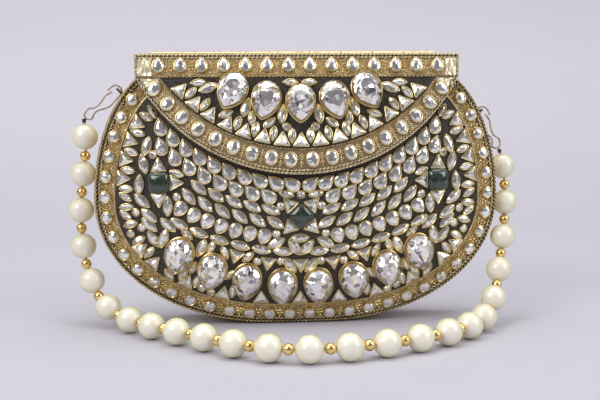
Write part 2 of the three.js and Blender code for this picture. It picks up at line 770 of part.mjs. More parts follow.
function standingPrism(outline) {
  const depth = gussetDepth + 4 * domeRise;
  const prism = new THREE.ExtrudeGeometry(new THREE.Shape(outline), { depth, bevelEnabled: false });
  return prism.rotateX(Math.PI / 2);
}

function box(x0, y0, z0, x1, y1, z1) {
  const block = new THREE.BoxGeometry(x1 - x0, y1 - y0, z1 - z0);
  return solid(block.translate((x0 + x1) / 2, (y0 + y1) / 2, (z0 + z1) / 2));
}

// Round wire along a path, as an extruded section
function wire(points, diameter, sides, steps) {
  const section = new THREE.Shape(Array.from({ length: sides }, (_, i) => {
    const angle = (2 * Math.PI * (i + 0.5)) / sides;
    return new THREE.Vector2((Math.cos(angle) * diameter) / 2, (Math.sin(angle) * diameter) / 2);
  }));
  const extrudePath = new THREE.CatmullRomCurve3(points, false, "centripetal");
  return new THREE.ExtrudeGeometry(section, { steps, extrudePath, bevelEnabled: false });
}

const hingeAxisY = gussetDepth / 2 - leafSheet - seatGap + knuckleRadius;
const hingeAxisZ = bagHeight;
const flapRear = hingeAxisY - knuckleRadius - 0.5;
const returnBottom = bagHeight - flapSheet;

function arcWire(radius, centre, width) {
  const swing = Math.asin(width / radius);
  const points = [];
  for (let i = 0; i <= 12; i++) {
    const angle = -swing + (2 * swing * i) / 12;
    points.push(onDome(radius * Math.sin(angle), centre - radius * Math.cos(angle), flapFront - ropeSeat));
  }
  return solid(wire(points, ropeWidth, 4, 12));
}

function straightWire(z, width) {
  const points = [];
  for (let i = 0; i <= 12; i++) points.push(onDome(width * (i / 6 - 1), z, flapFront - ropeSeat));
  return solid(wire(points, ropeWidth, 4, 12));
}

const innerEnd = Math.sqrt(innerRadius ** 2 - (innerCentre - bandBottom) ** 2);
const flapCups = flapCrystals.map((c) => collet(c, colletOutline, colletRise, crystalSeat, flapFront));
const flapStones = [...flapField.stones.filter((s) => s.kind !== "held"), ...flapBorderStones];
const flapWall = solid(domedSlab(flapBack, flapFront))
  .intersect(solid(standingPrism(flapOutline(0, bagHeight))));
const flapReturn = box(-neck, -(rimPlane + flapFront), returnBottom, neck, flapRear, bagHeight);
const overFlapTables = solid(domedSlab(flapFront + stoneRise, flapFront + 2 * stonePoint));
const flap = join([flapWall, flapReturn, ...flapStones.map((s) => stoneSolid(s, flapFront))])
  .subtract(overFlapTables)
  .add(join([
    arcWire(flapRadius - 0.9, arcCentre, neck - 1.2),
    arcWire(innerRadius, innerCentre, innerEnd),
    straightWire(bandBottom, neck - 0.8),
    straightWire(bagHeight - 1, neck - 0.8),
    ...flapCups.map(([cup]) => cup),
  ]))
  .subtract(join(flapCups.map(([, pocket]) => pocket)));
addMesh(bag, "flap", shape(flap), gilt);

// Magnets: one inside the flap, one on the panel behind it
const magnetPlace = { x: 0, z: flapBottom + magnetRise, turn: 0 };
function disc(radius, low, high, sides = 12) {
  const outline = Array.from({ length: sides }, (_, i) => {
    const angle = (2 * Math.PI * i) / sides;
    return new THREE.Vector2(radius * Math.cos(angle), radius * Math.sin(angle));
  });
  return skin([level(outline, low), level(outline, high)]);
}
const magnetFrame = domeFrame(magnetPlace.x, magnetPlace.z, panelSheet, 0);
const panelMagnet = disc(magnetRadius, seatGap, seatGap + magnetThickness).applyMatrix4(magnetFrame);
const flapMagnetLow = 2 * seatGap + magnetThickness;
const flapMagnet = disc(magnetRadius, flapMagnetLow, flapMagnetLow + magnetThickness);
addMesh(bag, "panel_magnet", panelMagnet, magnetPlate);
addMesh(bag, "flap_magnet", flapMagnet.applyMatrix4(magnetFrame), magnetPlate);

// Lining of the flap, with a hole round its magnet
const liningBack = flapBack - seatGap - liningCloth;
const liningTop = returnBottom - 2 * seatGap;
const magnetHole = disc(magnetRadius + seatGap, -3, 5).applyMatrix4(magnetFrame);
const flapLining = solid(domedSlab(liningBack, liningBack + liningCloth))
  .intersect(solid(standingPrism(flapOutline(liningInset, liningTop))))
  .subtract(solid(magnetHole));
addMesh(bag, "flap_lining", shape(flapLining), velvet);

// Piano hinge: knuckles of the two leaves take turns along the pin
function knuckle(from, to) {
  const ring = (radius) => Array.from({ length: 8 }, (_, i) => {
    const angle = (2 * Math.PI * (i + 0.5)) / 8;
    return new THREE.Vector2(radius * Math.cos(angle), radius * Math.sin(angle));
  });
  const barrel = new THREE.Shape(ring(knuckleRadius));
  barrel.holes.push(new THREE.Path(ring(pinRadius + pinClearance)));
  const tube = new THREE.ExtrudeGeometry(barrel, { depth: to - from, bevelEnabled: false });
  return solid(tube.rotateY(Math.PI / 2).translate(from, hingeAxisY, hingeAxisZ));
}

const knuckleStep = hingeLength / knuckleCount;
const bodyLeafParts = [];
const flapLeafParts = [];
const leafFrontY = hingeAxisY - knuckleRadius;
const leafRearY = hingeAxisY - 0.6;
const leafTopZ = returnBottom - seatGap;
for (let i = 0; i < knuckleCount; i++) {
  const from = -hingeLength / 2 + i * knuckleStep + knuckleGap / 2;
  const to = from + knuckleStep - knuckleGap;
  if (i % 2 === 0) {
    bodyLeafParts.push(knuckle(from, to));
    bodyLeafParts.push(box(from, leafFrontY, hingeAxisZ - 5, to, leafFrontY + leafSheet, hingeAxisZ));
  } else {
    flapLeafParts.push(knuckle(from, to));
    flapLeafParts.push(box(from, flapRear - 1, leafTopZ - leafSheet, to, leafRearY, leafTopZ));
    flapLeafParts.push(box(from, leafRearY - 0.7, leafTopZ - leafSheet, to, leafRearY, hingeAxisZ - 1.2));
  }
}
const hingeEnd = hingeLength / 2;
const bodyLeafTop = leafTopZ - leafSheet - seatGap;
const bodyLeafLow = bodyLeafTop - bodyLeafWidth;
bodyLeafParts.push(box(-hingeEnd, leafFrontY, bodyLeafLow, hingeEnd, leafFrontY + leafSheet, bodyLeafTop));
const flapLeafFront = flapRear - flapLeafWidth;
flapLeafParts.push(box(-hingeEnd, flapLeafFront, leafTopZ - leafSheet, hingeEnd, flapRear - 0.4, leafTopZ));
addMesh(bag, "hinge_body_leaf", shape(join(bodyLeafParts)), brass);
addMesh(bag, "hinge_flap_leaf", shape(join(flapLeafParts)), brass);
const pin = new THREE.CylinderGeometry(pinRadius, pinRadius, hingeLength + 1.2, 10).rotateZ(Math.PI / 2);
addMesh(bag, "hinge_pin", pin.translate(0, hingeAxisY, hingeAxisZ), darkMetal);

// Crystals and green stones
function addCrystals(name, places, forward) {
  places.forEach((place, i) => addMesh(bag, name + (i + 1), crystalBody(place, forward), clearGlass));
}
addCrystals("panel_crystal_", panelCrystals, panelSheet);
addCrystals("flap_crystal_", flapCrystals, flapFront);
greens.forEach((g) => addMesh(bag, g.name, greenBody(g, panelSheet), greenGlass));

// Point and outward direction on the left side of the gusset at a height
function sidePoint(height) {
  const side = leftSide(mouthHeight);
  const i = side.findIndex((p, k) => k > 0 && p.y <= height);
  const from = side[i - 1];
  const step = side[i].clone().sub(from);
  const at = from.clone().addScaledVector(step, (height - from.y) / step.y);
  step.normalize();
  return { at, out: new THREE.Vector2(step.y, -step.x) };
}

// Lug: a wire staple on the gusset, for the hook
function lug(height) {
  const { at, out } = sidePoint(height);
  const place = (reach, y) => new THREE.Vector3(at.x + out.x * reach, y, at.y + out.y * reach);
  const legs = lugSpread / 2;
  const bend = 1.4;
  const path = [
    place(seatGap, -legs), place(lugReach - bend, -legs), place(lugReach, -legs + bend),
    place(lugReach, legs - bend), place(lugReach - bend, legs), place(seatGap, legs),
  ];
  return wire(path, lugWire, 6, 8);
}

// Hook: one wire, from its tip over the bow, down to the eye and back up as a spring arm.
// The points are measured from the bow, along the pull and across it, for a reach of 20.7.
const hookShape = [
  [4, 2.7], [1.3, 2.8], [-0.6, 2.2], [-1.7, -0.3], [-0.7, -2.2], [4, -3.2], [8.6, -3.6], [11.6, -2.5],
  [14.7, -1.4], [16.6, -1.7], [18.9, -2.7], [20.4, -1.5], [20.7, 0], [20, 1.1], [16.8, 2], [14.3, 0.5],
  [10.8, 0.4], [5.9, 1.5], [2.7, 0.8],
];
function bowOf(height) {
  const { at, out } = sidePoint(height);
  return at.addScaledVector(out, lugReach);
}
function hook(height, lean) {
  const bow = bowOf(height);
  const swing = THREE.MathUtils.degToRad(lean);
  const pull = new THREE.Vector2(-Math.sin(swing), -Math.cos(swing));
  const across = new THREE.Vector2(pull.y, -pull.x);
  const scale = hookReach / 20.7;
  const path = hookShape.map(([along, aside]) => {
    const at = bow.clone().addScaledVector(pull, along * scale).addScaledVector(across, aside * scale);
    return new THREE.Vector3(at.x, 0, at.y);
  });
  return wire(path, hookWire, 5, 26);
}
addMesh(bag, "lug_left", lug(bagHeight - leftLugDrop), darkMetal);
addMesh(bag, "lug_right", lug(bagHeight - rightLugDrop), darkMetal).scale.x = -1;
addMesh(bag, "hook_left", hook(bagHeight - leftLugDrop, leftHookLean), copperWire);
addMesh(bag, "hook_right", hook(bagHeight - rightLugDrop, rightHookLean), copperWire).scale.x = -1;

// Strap: it hangs from both hooks and lies on the floor in front of the bag.
const route = [
  [-107.2, 0, 103.9], [-106, 0, 93.8], [-108.4, 0, 74.6], [-109.6, 0, 56.2], [-108.8, -0.5, 38],
  [-104.6, -4.5, 21], [-95.8, -14.5, 9.4], [-84.4, -28.5, 6.6], [-73.4, -43.2, 6.6], [-60.6, -57.6, 6.6],
  [-47.6, -71.6, 6.6], [-34.4, -85.2, 6.6], [-18.6, -95.6, 6.6], [-0.8, -98.8, 6.6], [17.2, -95.6, 6.6],
  [35, -89.4, 6.6], [51.4, -81, 6.6], [66.4, -70.4, 6.6], [79, -57.2, 6.6], [89.4, -42, 7],
  [97.6, -28, 14.4], [102.8, -16.6, 27.6], [107, -8.4, 43.8], [109.2, -3, 61.4], [108.6, 0, 78.4],
  [106.5, 0, 86.5],
].map((p) => new THREE.Vector3(...p));
const strapCurve = new THREE.CatmullRomCurve3(route, false, "centripetal");
strapCurve.arcLengthDivisions = 2000;
const strapLength = strapCurve.getLength();
const firstPearl = (strapLength - (pearlCount - 1) * strapPitch) / 2;

// Frame in the middle between two points of the thread, its X axis from one to the other
function strungBetween(from, to) {
  const along = to.clone().sub(from).normalize();
  const turn = new THREE.Quaternion().setFromUnitVectors(new THREE.Vector3(1, 0, 0), along);
  return new THREE.Matrix4().compose(from.clone().add(to).divideScalar(2), turn, new THREE.Vector3(1, 1, 1));
}

// Spacer beads between the pearls, and a crimp at each end of the thread
const crimpReach = crimpDiameter * beadReach;
const beads = [{ at: crimpReach, size: crimpDiameter }];
for (let i = 0.5; i < pearlCount - 1; i++) {
  beads.push({ at: firstPearl + i * strapPitch, size: spacerDiameter });
}
beads.push({ at: strapLength - crimpReach, size: crimpDiameter });
for (const bead of beads) {
  bead.start = strapCurve.getPointAt(Math.max(0, (bead.at - bead.size * beadReach) / strapLength));
  bead.end = strapCurve.getPointAt(Math.min(1, (bead.at + bead.size * beadReach) / strapLength));
}

// The thread is one tube that swells at each bead and runs straight through the pearls.
const threadRings = beads.flatMap((bead) => {
  const frame = strungBetween(bead.start, bead.end);
  const reach = bead.start.distanceTo(bead.end) / 2;
  const ring = (along, diameter) => Array.from({ length: 8 }, (_, i) => {
    const angle = (2 * Math.PI * i) / 8;
    const radius = diameter / 2;
    return new THREE.Vector3(along, Math.cos(angle) * radius, Math.sin(angle) * radius).applyMatrix4(frame);
  });
  const waist = reach / 2;
  const ends = [ring(-reach, threadDiameter), ring(reach, threadDiameter)];
  return [ends[0], ring(-waist, bead.size), ring(waist, bead.size), ends[1]];
});
addMesh(bag, "strap_thread", skin(threadRings), gilt);

// A pearl is a lathe of an arc, and its bore closes the profile.
function pearl() {
  const radius = pearlDiameter / 2;
  const start = Math.asin(pearlBore / pearlDiameter);
  const rows = 4;
  const profile = Array.from({ length: rows + 1 }, (_, i) => {
    const angle = start + ((Math.PI - 2 * start) * i) / rows;
    return new THREE.Vector2(radius * Math.sin(angle), -radius * Math.cos(angle));
  });
  return new THREE.LatheGeometry([...profile, profile[0].clone()], 8).rotateZ(-Math.PI / 2);
}
for (let i = 0; i < pearlCount; i++) {
  const place = strungBetween(beads[i].end, beads[i + 1].start);
  addMesh(bag, "pearl_" + String(i + 1).padStart(2, "0"), pearl().applyMatrix4(place), pearlCoat);
}

export default bag;
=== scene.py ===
import json
import math

import bmesh
import bpy
import numpy as np
from mathutils import Matrix, Vector

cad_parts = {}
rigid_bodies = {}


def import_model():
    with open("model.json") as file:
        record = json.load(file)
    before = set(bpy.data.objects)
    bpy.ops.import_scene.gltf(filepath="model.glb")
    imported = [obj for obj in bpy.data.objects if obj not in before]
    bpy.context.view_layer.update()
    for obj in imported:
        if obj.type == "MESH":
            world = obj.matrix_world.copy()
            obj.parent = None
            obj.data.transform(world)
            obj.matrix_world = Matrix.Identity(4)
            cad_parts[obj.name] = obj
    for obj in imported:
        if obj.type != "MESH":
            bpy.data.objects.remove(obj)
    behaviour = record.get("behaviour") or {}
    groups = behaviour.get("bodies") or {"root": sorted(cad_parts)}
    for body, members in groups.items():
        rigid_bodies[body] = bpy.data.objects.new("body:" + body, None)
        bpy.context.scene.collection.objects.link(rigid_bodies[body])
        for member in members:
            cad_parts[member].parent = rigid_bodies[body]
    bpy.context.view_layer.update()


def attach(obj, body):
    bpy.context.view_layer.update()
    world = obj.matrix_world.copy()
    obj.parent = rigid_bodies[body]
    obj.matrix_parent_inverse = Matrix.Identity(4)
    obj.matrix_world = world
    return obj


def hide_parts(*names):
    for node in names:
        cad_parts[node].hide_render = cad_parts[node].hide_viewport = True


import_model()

# Sizes in millimetres, as in the part's source. +X is the width, -Y faces the viewer, +Z is up.
MM = 0.001
BAG_WIDTH = 204
BAG_HEIGHT = 136
NECK_WIDTH = 161
SHOULDER_DROP = 12
WIDEST_HEIGHT = 64
FOOT_LENGTH = 24
LOWER_FULLNESS = 0.6
GUSSET_DEPTH = 22
DOME_RISE = 14
SEAT_GAP = 0.3
PANEL_SHEET = 1.4
GUSSET_WALL = 1.2
FLAP_SHEET = 1.4
LINING_CLOTH = 0.7
OPENING_DROP = 2.8
BAND_HEIGHT = 11.5
FLAP_REACH = 59
FLAP_BORDER = 12.8
MAGNET_THICKNESS = 0.9
MAGNET_RADIUS = 6
MAGNET_RISE = 9
MAGNET_SLACK = 0.5
LINING_INSET = 2.4
EDGE_ROPE = 2.8
PANEL_BORDER = 10.8
RIM_INSET = 0.5
STONE_GAP = 0.1
LAC_RISE = 0.16
GRANULE_LIFT = 0.05
ROPE_LIFT = 0.35
ROPE_STEP = 1.2
SHEET_STEP = 4
STONE_SIZES = {
    "round": (4, 4), "border": (5.8, 5.8), "oval": (7.6, 6.2), "drop": (9, 6.7), "bright_drop": (8, 6.7),
    "band_drop": (7.6, 5.8), "marquise": (10, 4.7), "slim": (7.6, 3.7), "triangle": (7.2, 8.2),
}
CRYSTAL_LENGTH = 19
CRYSTAL_WIDTH = 14.6
COLLET_WALL = 0.8
COLLET_RISE = 4.2
CRYSTAL_RISE = 3
GREEN_SIDE = 10.6
GREEN_TOP = 4.2
CRYSTAL_ARC, CRYSTAL_ARC_LOW, CRYSTAL_STEP = 117, 21.6, 17.9
FAN_ARC, FAN_DROP, FAN_STEP = 92, 23.8, 16.8
CENTRE_GREEN_DROP, SIDE_GREEN_INSET, SIDE_GREEN_LIFT = 20.6, 32.5, 9
# Rows of stones along the flap's edge: kind, distance from the edge, pitch, lean in degrees, way to the first
STONE_ROWS = (
    ("drop", 5.2, 7.9, 54, 4.5), ("drop", 12, 8.3, 54, 16), ("marquise", 18.2, 9.2, 72, 15),
    ("marquise", 24.4, 8.9, 64, 12.6), ("bright_drop", 31.6, 7.2, 170, 11), ("marquise", 38.6, 10.6, 88, 9),
)
RING_PITCH, FLAP_RING_PITCH, BORDER_PITCH = 9.9, 9.7, 10.15
OVAL_PITCH, OVALS_PER_SIDE, BAND_STONES = 10.25, 9, 14
PEARL_DIAMETER = 13
PEARL_BORE = 1.6
PEARLS = 24
PEARL_ROLL = 1.7
STRAP_PITCH = 18.45
THREAD_DIAMETER = 1
SPACER_DIAMETER = 5.4
SPACER_BORE = 1.3
CRIMP_DIAMETER = 2
BEAD_REACH = 0.45
HOOK_WIRE = 0.9
HOOK_REACH = 21.6
LUG_WIRE = 1.2
LUG_REACH = 3.6
LUG_SPREAD = 4.6
LEFT_LUG = BAG_HEIGHT - 19.8
RIGHT_LUG = BAG_HEIGHT - 30.8
LEFT_LEAN, RIGHT_LEAN = 50, 25.6
HINGE_LENGTH = 148
KNUCKLES = 9
KNUCKLE_RADIUS = 1.8
KNUCKLE_GAP = 0.4
PIN_RADIUS = 0.8
PIN_CLEARANCE = 0.3
LEAF_SHEET = 0.6
BODY_LEAF_WIDTH = 11
FLAP_LEAF_WIDTH = 11

HALF = BAG_WIDTH / 2
NECK = NECK_WIDTH / 2
SHOULDER = BAG_HEIGHT - SHOULDER_DROP
RIM_PLANE = GUSSET_DEPTH / 2 + SEAT_GAP
MOUTH = BAG_HEIGHT - OPENING_DROP
DOME_CENTRE = BAG_HEIGHT / 2 - 2
FLAP_BACK = PANEL_SHEET + 2 * MAGNET_THICKNESS + 3 * SEAT_GAP + MAGNET_SLACK
FLAP_FRONT = FLAP_BACK + FLAP_SHEET
FLAP_BOTTOM = BAG_HEIGHT - FLAP_REACH
BAND_BOTTOM = BAG_HEIGHT - BAND_HEIGHT
ARC_RISE = BAND_BOTTOM - FLAP_BOTTOM
FLAP_RADIUS = (NECK**2 + ARC_RISE**2) / (2 * ARC_RISE)
ARC_CENTRE = FLAP_BOTTOM + FLAP_RADIUS
INNER_RADIUS = FLAP_RADIUS - FLAP_BORDER + 5.5
INNER_CENTRE = FLAP_BOTTOM + FLAP_BORDER + INNER_RADIUS
INNER_END = math.sqrt(INNER_RADIUS**2 - (INNER_CENTRE - BAND_BOTTOM) ** 2)
HINGE_Y = GUSSET_DEPTH / 2 - LEAF_SHEET - SEAT_GAP + KNUCKLE_RADIUS
HINGE_Z = BAG_HEIGHT
FLAP_REAR = HINGE_Y - KNUCKLE_RADIUS - 0.5
RETURN_BOTTOM = BAG_HEIGHT - FLAP_SHEET


# The photographer's camera

def aim_camera():
    """Camera at the photograph's angle: 1121 pixels of focal length over a picture 600 pixels wide."""
    lens = bpy.data.cameras.new("photo_camera")
    lens.sensor_width = 36
    lens.lens = 36 * 1121 / 600
    lens.clip_start = 0.01
    camera = in_scene("photo_camera", lens)
    turn = Matrix.Rotation(math.radians(-5.32), 4, "Z") @ Matrix.Rotation(math.radians(90 - 6.1), 4, "X")
    place = Matrix.Translation(Vector((-51.4, -573.0, 122.8)) * MM)
    camera.matrix_world = place @ turn @ Matrix.Rotation(math.radians(-0.25), 4, "Z")
    bpy.context.scene.camera = camera


# Outline of the bag and the swell of its panels

def bezier(a, b, c, d, steps):
    t = np.linspace(0, 1, steps + 1)[:, None]
    a, b, c, d = (np.array(p, float) for p in (a, b, c, d))
    return (1 - t) ** 3 * a + 3 * (1 - t) ** 2 * t * b + 3 * (1 - t) * t**2 * c + t**3 * d


def left_side(top, fine=1):
    """Left half of the outline from the mouth down to the foot, as points (x, z)."""
    flare = bezier(
        (-NECK, SHOULDER),
        (-NECK - 0.62 * (HALF - NECK), SHOULDER - 0.2 * (SHOULDER - WIDEST_HEIGHT)),
        (-HALF, WIDEST_HEIGHT + 0.42 * (SHOULDER - WIDEST_HEIGHT)),
        (-HALF, WIDEST_HEIGHT),
        5 * fine,
    )
    belly = bezier(
        (-HALF, WIDEST_HEIGHT),
        (-HALF, WIDEST_HEIGHT * (1 - LOWER_FULLNESS)),
        (-FOOT_LENGTH / 2 - (HALF - FOOT_LENGTH / 2) * (LOWER_FULLNESS - 0.055), 0),
        (-FOOT_LENGTH / 2, 0),
        11 * fine,
    )
    return np.vstack([[[-NECK, top]], flare, belly[1:]])


def bag_outline(top, fine=1):
    """Whole outline below a level top, counter-clockwise from the mouth's left corner."""
    left = left_side(top, fine)
    right = (left * [-1, 1])[::-1]
    across = np.linspace(NECK, -NECK, 7)[1:-1]
    edge = np.column_stack([across, np.full(len(across), top)])
    return np.vstack([left, right, edge])


def inset(loop, distance):
    """Each point of a loop moved inwards, with mitred corners."""
    before = loop - np.roll(loop, 1, axis=0)
    after = np.roll(loop, -1, axis=0) - loop
    a = before / np.linalg.norm(before, axis=1, keepdims=True)
    b = after / np.linalg.norm(after, axis=1, keepdims=True)
    inward = np.column_stack([-a[:, 1] - b[:, 1], a[:, 0] + b[:, 0]])
    return loop + inward * (distance / (1 + (a * b).sum(1)))[:, None]


def stepped(loop, step, like=None):
    """A loop with points added so that no side of it, or of another like it, is longer than a step."""
    points = []
    like = loop if like is None else like
    lengths = np.linalg.norm(np.roll(like, -1, axis=0) - like, axis=1)
    for p, q, length in zip(loop, np.roll(loop, -1, axis=0), lengths):
        n = max(1, math.ceil(length / step))
        points += [p + (q - p) * i / n for i in range(n)]
    return np.array(points)


SMOOTH = 4
LEVEL_LINE = bag_outline(BAG_HEIGHT, SMOOTH)
WHOLE_OUTLINE = bag_outline(MOUTH, SMOOTH)
BORDER_LINE = inset(bag_outline(MOUTH), EDGE_ROPE + STONE_SIZES["border"][0] / 2 + STONE_GAP)


def outline_reach(angle):
    """Distance from the dome's centre to the outline along each direction."""
    d = np.column_stack([np.cos(angle), np.sin(angle)])[:, None, :]
    p = (LEVEL_LINE - [0, DOME_CENTRE])[None]
    e = (np.roll(LEVEL_LINE, -1, axis=0) - LEVEL_LINE)[None]
    cross = d[..., 0] * e[..., 1] - d[..., 1] * e[..., 0]
    cross = np.where(abs(cross) < 1e-9, 1e-9, cross)
    along = (p[..., 0] * e[..., 1] - p[..., 1] * e[..., 0]) / cross
    share = (p[..., 0] * d[..., 1] - p[..., 1] * d[..., 0]) / cross
    met = (along > 0) & (share >= -1e-6) & (share <= 1 + 1e-6)
    return np.where(met, along, 0).max(axis=1)


def dome(x, z):
    """How far the panel swells. Its level lines pass from the outline at the rim to an ellipse."""
    x, z = np.atleast_1d(np.asarray(x, float)), np.atleast_1d(np.asarray(z, float))
    radius = np.hypot(x, z - DOME_CENTRE)
    angle = np.arctan2(z - DOME_CENTRE, x)
    reach = outline_reach(angle)
    oval = 1 / np.hypot(np.cos(angle) / HALF, np.sin(angle) / (BAG_HEIGHT / 2))
    low, high = np.zeros_like(radius), np.full_like(radius, 1.3)
    for _ in range(24):
        level = (low + high) / 2
        under = level * (oval + (reach - oval) * np.minimum(1, level**3)) < radius
        low, high = np.where(under, level, low), np.where(under, high, level)
    return DOME_RISE * np.maximum(0, 1 - low * low)


def on_dome(points, forward):
    """Points (x, z) on the front dome, set forward by a distance."""
    points = np.asarray(points, float)
    return np.column_stack([points[:, 0], -(RIM_PLANE + forward + dome(*points.T)), points[:, 1]])


def stances(places, forward):
    """For each place (x, z, turn) the point on the dome, and the turn that stands a piece upright on it."""
    x, z, turn = (np.array([p[k] for p in places], float) for k in range(3))
    step = 0.5
    slope_x = (dome(x + step, z) - dome(x - step, z)) / (2 * step)
    slope_z = (dome(x, z + step) - dome(x, z - step)) / (2 * step)
    points = on_dome(np.column_stack([x, z]), forward)
    turns = []
    for sx, sz, angle in zip(slope_x, slope_z, turn):
        out = Vector((-sx, -1, -sz)).normalized()
        across = (Vector((1, 0, 0)) - out * out.x).normalized()
        upward = Matrix((across, out.cross(across), out)).transposed()
        turns.append((upward @ Matrix.Rotation(angle, 3, "Z")).to_quaternion())
    return points, turns


# Where the stones lie

def stone_corners(kind):
    """The few corners by which stones are kept apart, long axis upwards."""
    length, width = STONE_SIZES[kind]
    if kind == "triangle":
        corners = [(0, 0.55), (-0.5, -0.45), (0.5, -0.45)]
    elif kind in ("slim", "marquise"):
        corners = [(0, 0.5), (-0.5, 0), (0, -0.5), (0.5, 0)]
    elif kind.endswith("drop"):
        corners = [(0, 0.55), (-0.45, 0), (-0.3, -0.42), (0.3, -0.42), (0.45, 0)]
    else:
        sides = 5 if kind == "round" else 6
        angles = [2 * math.pi * (i + 0.5) / sides for i in range(sides)]
        corners = [(-math.sin(a) / 2, math.cos(a) / 2) for a in angles]
    return np.array(corners) * [width, length]


def pear(length, width, points, blunt=0.0):
    """Pear-shaped outline, its narrow end up and more or less blunt."""
    angle = np.arange(points) * 2 * math.pi / points
    lean = np.cos(angle)
    narrow = 1 - 0.36 * np.maximum(0, lean) ** 2 - blunt * np.maximum(0, lean) ** 6
    reach = np.where(lean > 0, 0.56, 0.44) * length
    return np.column_stack([-np.sin(angle) * width * narrow / 2, lean * reach])


def placed(corners, x, z, turn):
    """Corners moved to a place and turned."""
    c, s = math.cos(turn), math.sin(turn)
    return corners @ np.array([[c, s], [-s, c]]) + [x, z]


def clear_of(a, b, gap):
    """True where two convex outlines stay apart by more than a gap."""
    for one, other in ((a, b), (b, a)):
        side = np.roll(one, -1, axis=0) - one
        out = np.column_stack([side[:, 1], -side[:, 0]]) / np.linalg.norm(side, axis=1)[:, None]
        if ((other @ out.T).min(0) > (one @ out.T).max(0) + gap).any():
            return True
    return False


class Field:
    """A field of stones: each is kept where it stays inside and clear of those laid before."""

    def __init__(self, inside):
        self.inside = inside
        self.stones = []
        self.held = []
        self.centres = np.zeros((0, 2))
        self.reaches = np.zeros(0)

    def hold(self, x, z, corners, reach):
        self.held.append(corners)
        self.centres = np.vstack([self.centres, [x, z]])
        self.reaches = np.append(self.reaches, reach)

    def lay(self, kind, x, z, turn, mirrored=True):
        corners = placed(stone_corners(kind), x, z, turn)
        if not all(self.inside(a, b) for a, b in corners):
            return False
        reach = STONE_SIZES[kind][0] * 0.6
        apart = np.hypot(*(self.centres - [x, z]).T) if len(self.held) else np.zeros(0)
        for i in np.flatnonzero(apart <= self.reaches + reach + STONE_GAP):
            if not clear_of(self.held[i], corners, STONE_GAP):
                return False
        self.hold(x, z, corners, reach)
        self.stones.append((kind, x, z, turn))
        if mirrored and abs(x) > 0.01:
            self.lay(kind, -x, z, -turn, False)
        return True


def along_left(loop, start, pitch):
    """Stops at even steps along the lower stretch of a loop, from the middle of the bottom outwards."""
    path = loop[: len(left_side(MOUTH))][::-1]
    path = np.vstack([[[0, path[0][1]]], path])
    stops, walked, following = [], 0, start
    for p, q in zip(path, path[1:]):
        step = q - p
        length = np.linalg.norm(step)
        while following <= walked + length:
            x, z = p + step * ((following - walked) / length)
            stops.append((x, z, math.atan2(step[1], step[0]) - math.pi))
            following += pitch
        walked += length
    return stops


def under_flap(x, z):
    """True where the shut flap covers the panel."""
    return z > BAND_BOTTOM or math.hypot(x, z - ARC_CENTRE) < FLAP_RADIUS + 1


def within(loop):
    """A test for points inside a loop: a level line from the point crosses it an odd number of times."""
    following = np.roll(loop, -1, axis=0)

    def test(x, z):
        between = (loop[:, 1] > z) != (following[:, 1] > z)
        rise = np.where(between, following[:, 1] - loop[:, 1], 1)
        crossing = loop[:, 0] + (z - loop[:, 1]) * (following[:, 0] - loop[:, 0]) / rise
        return (between & (x < crossing)).sum() % 2 == 1
    return test


def on_arc(radius, centre, swing):
    """Point (x, z) on an arc about a centre on the middle line, swung from its lowest point."""
    return radius * np.sin(swing), centre - radius * np.cos(swing)


def oval_radius(i):
    """The row of ovals on the flap's border nears its edge towards the corners."""
    return FLAP_RADIUS - FLAP_BORDER * (0.56 - 0.16 * (i / (OVALS_PER_SIDE - 1)) ** 2)


CRYSTAL_CENTRE = CRYSTAL_ARC_LOW + CRYSTAL_ARC
FAN_CENTRE = BAG_HEIGHT - FAN_DROP + FAN_ARC
PANEL_CRYSTALS = [
    (*on_arc(CRYSTAL_ARC, CRYSTAL_CENTRE, s), math.pi + s * 0.5)
    for s in [(i - 3.5) * CRYSTAL_STEP / CRYSTAL_ARC for i in range(8)]
]
FLAP_CRYSTALS = [
    (*on_arc(FAN_ARC, FAN_CENTRE, s), math.pi + s * 1.25)
    for s in [(i - 2) * FAN_STEP / FAN_ARC for i in range(5)]
]
SIDE_GREEN = (HALF - SIDE_GREEN_INSET, WIDEST_HEIGHT + SIDE_GREEN_LIFT)
CENTRE_GREEN = (0, FLAP_BOTTOM - CENTRE_GREEN_DROP)
GREENS = [(-SIDE_GREEN[0], SIDE_GREEN[1], 0), (*CENTRE_GREEN, math.pi / 4), (*SIDE_GREEN, 0)]
COLLET_CORNERS = pear(CRYSTAL_LENGTH, CRYSTAL_WIDTH, 8)
SQUARE = np.array([(-1, -1), (1, -1), (1, 1), (-1, 1)]) * GREEN_SIDE / 2


def fill(field, left, bottom, right, top, step):
    """Small stones wherever they find room, turned round the dome's middle."""
    for kind in ("marquise", "slim", "round"):
        for z in np.arange(bottom, top, step):
            for x in np.arange(left, right + 1e-9, step):
                around = math.atan2(DOME_CENTRE - z, x)
                turns = [0] if kind == "round" else [around, around + 1.05, around - 1.05]
                any(field.lay(kind, x, z, turn) for turn in turns)


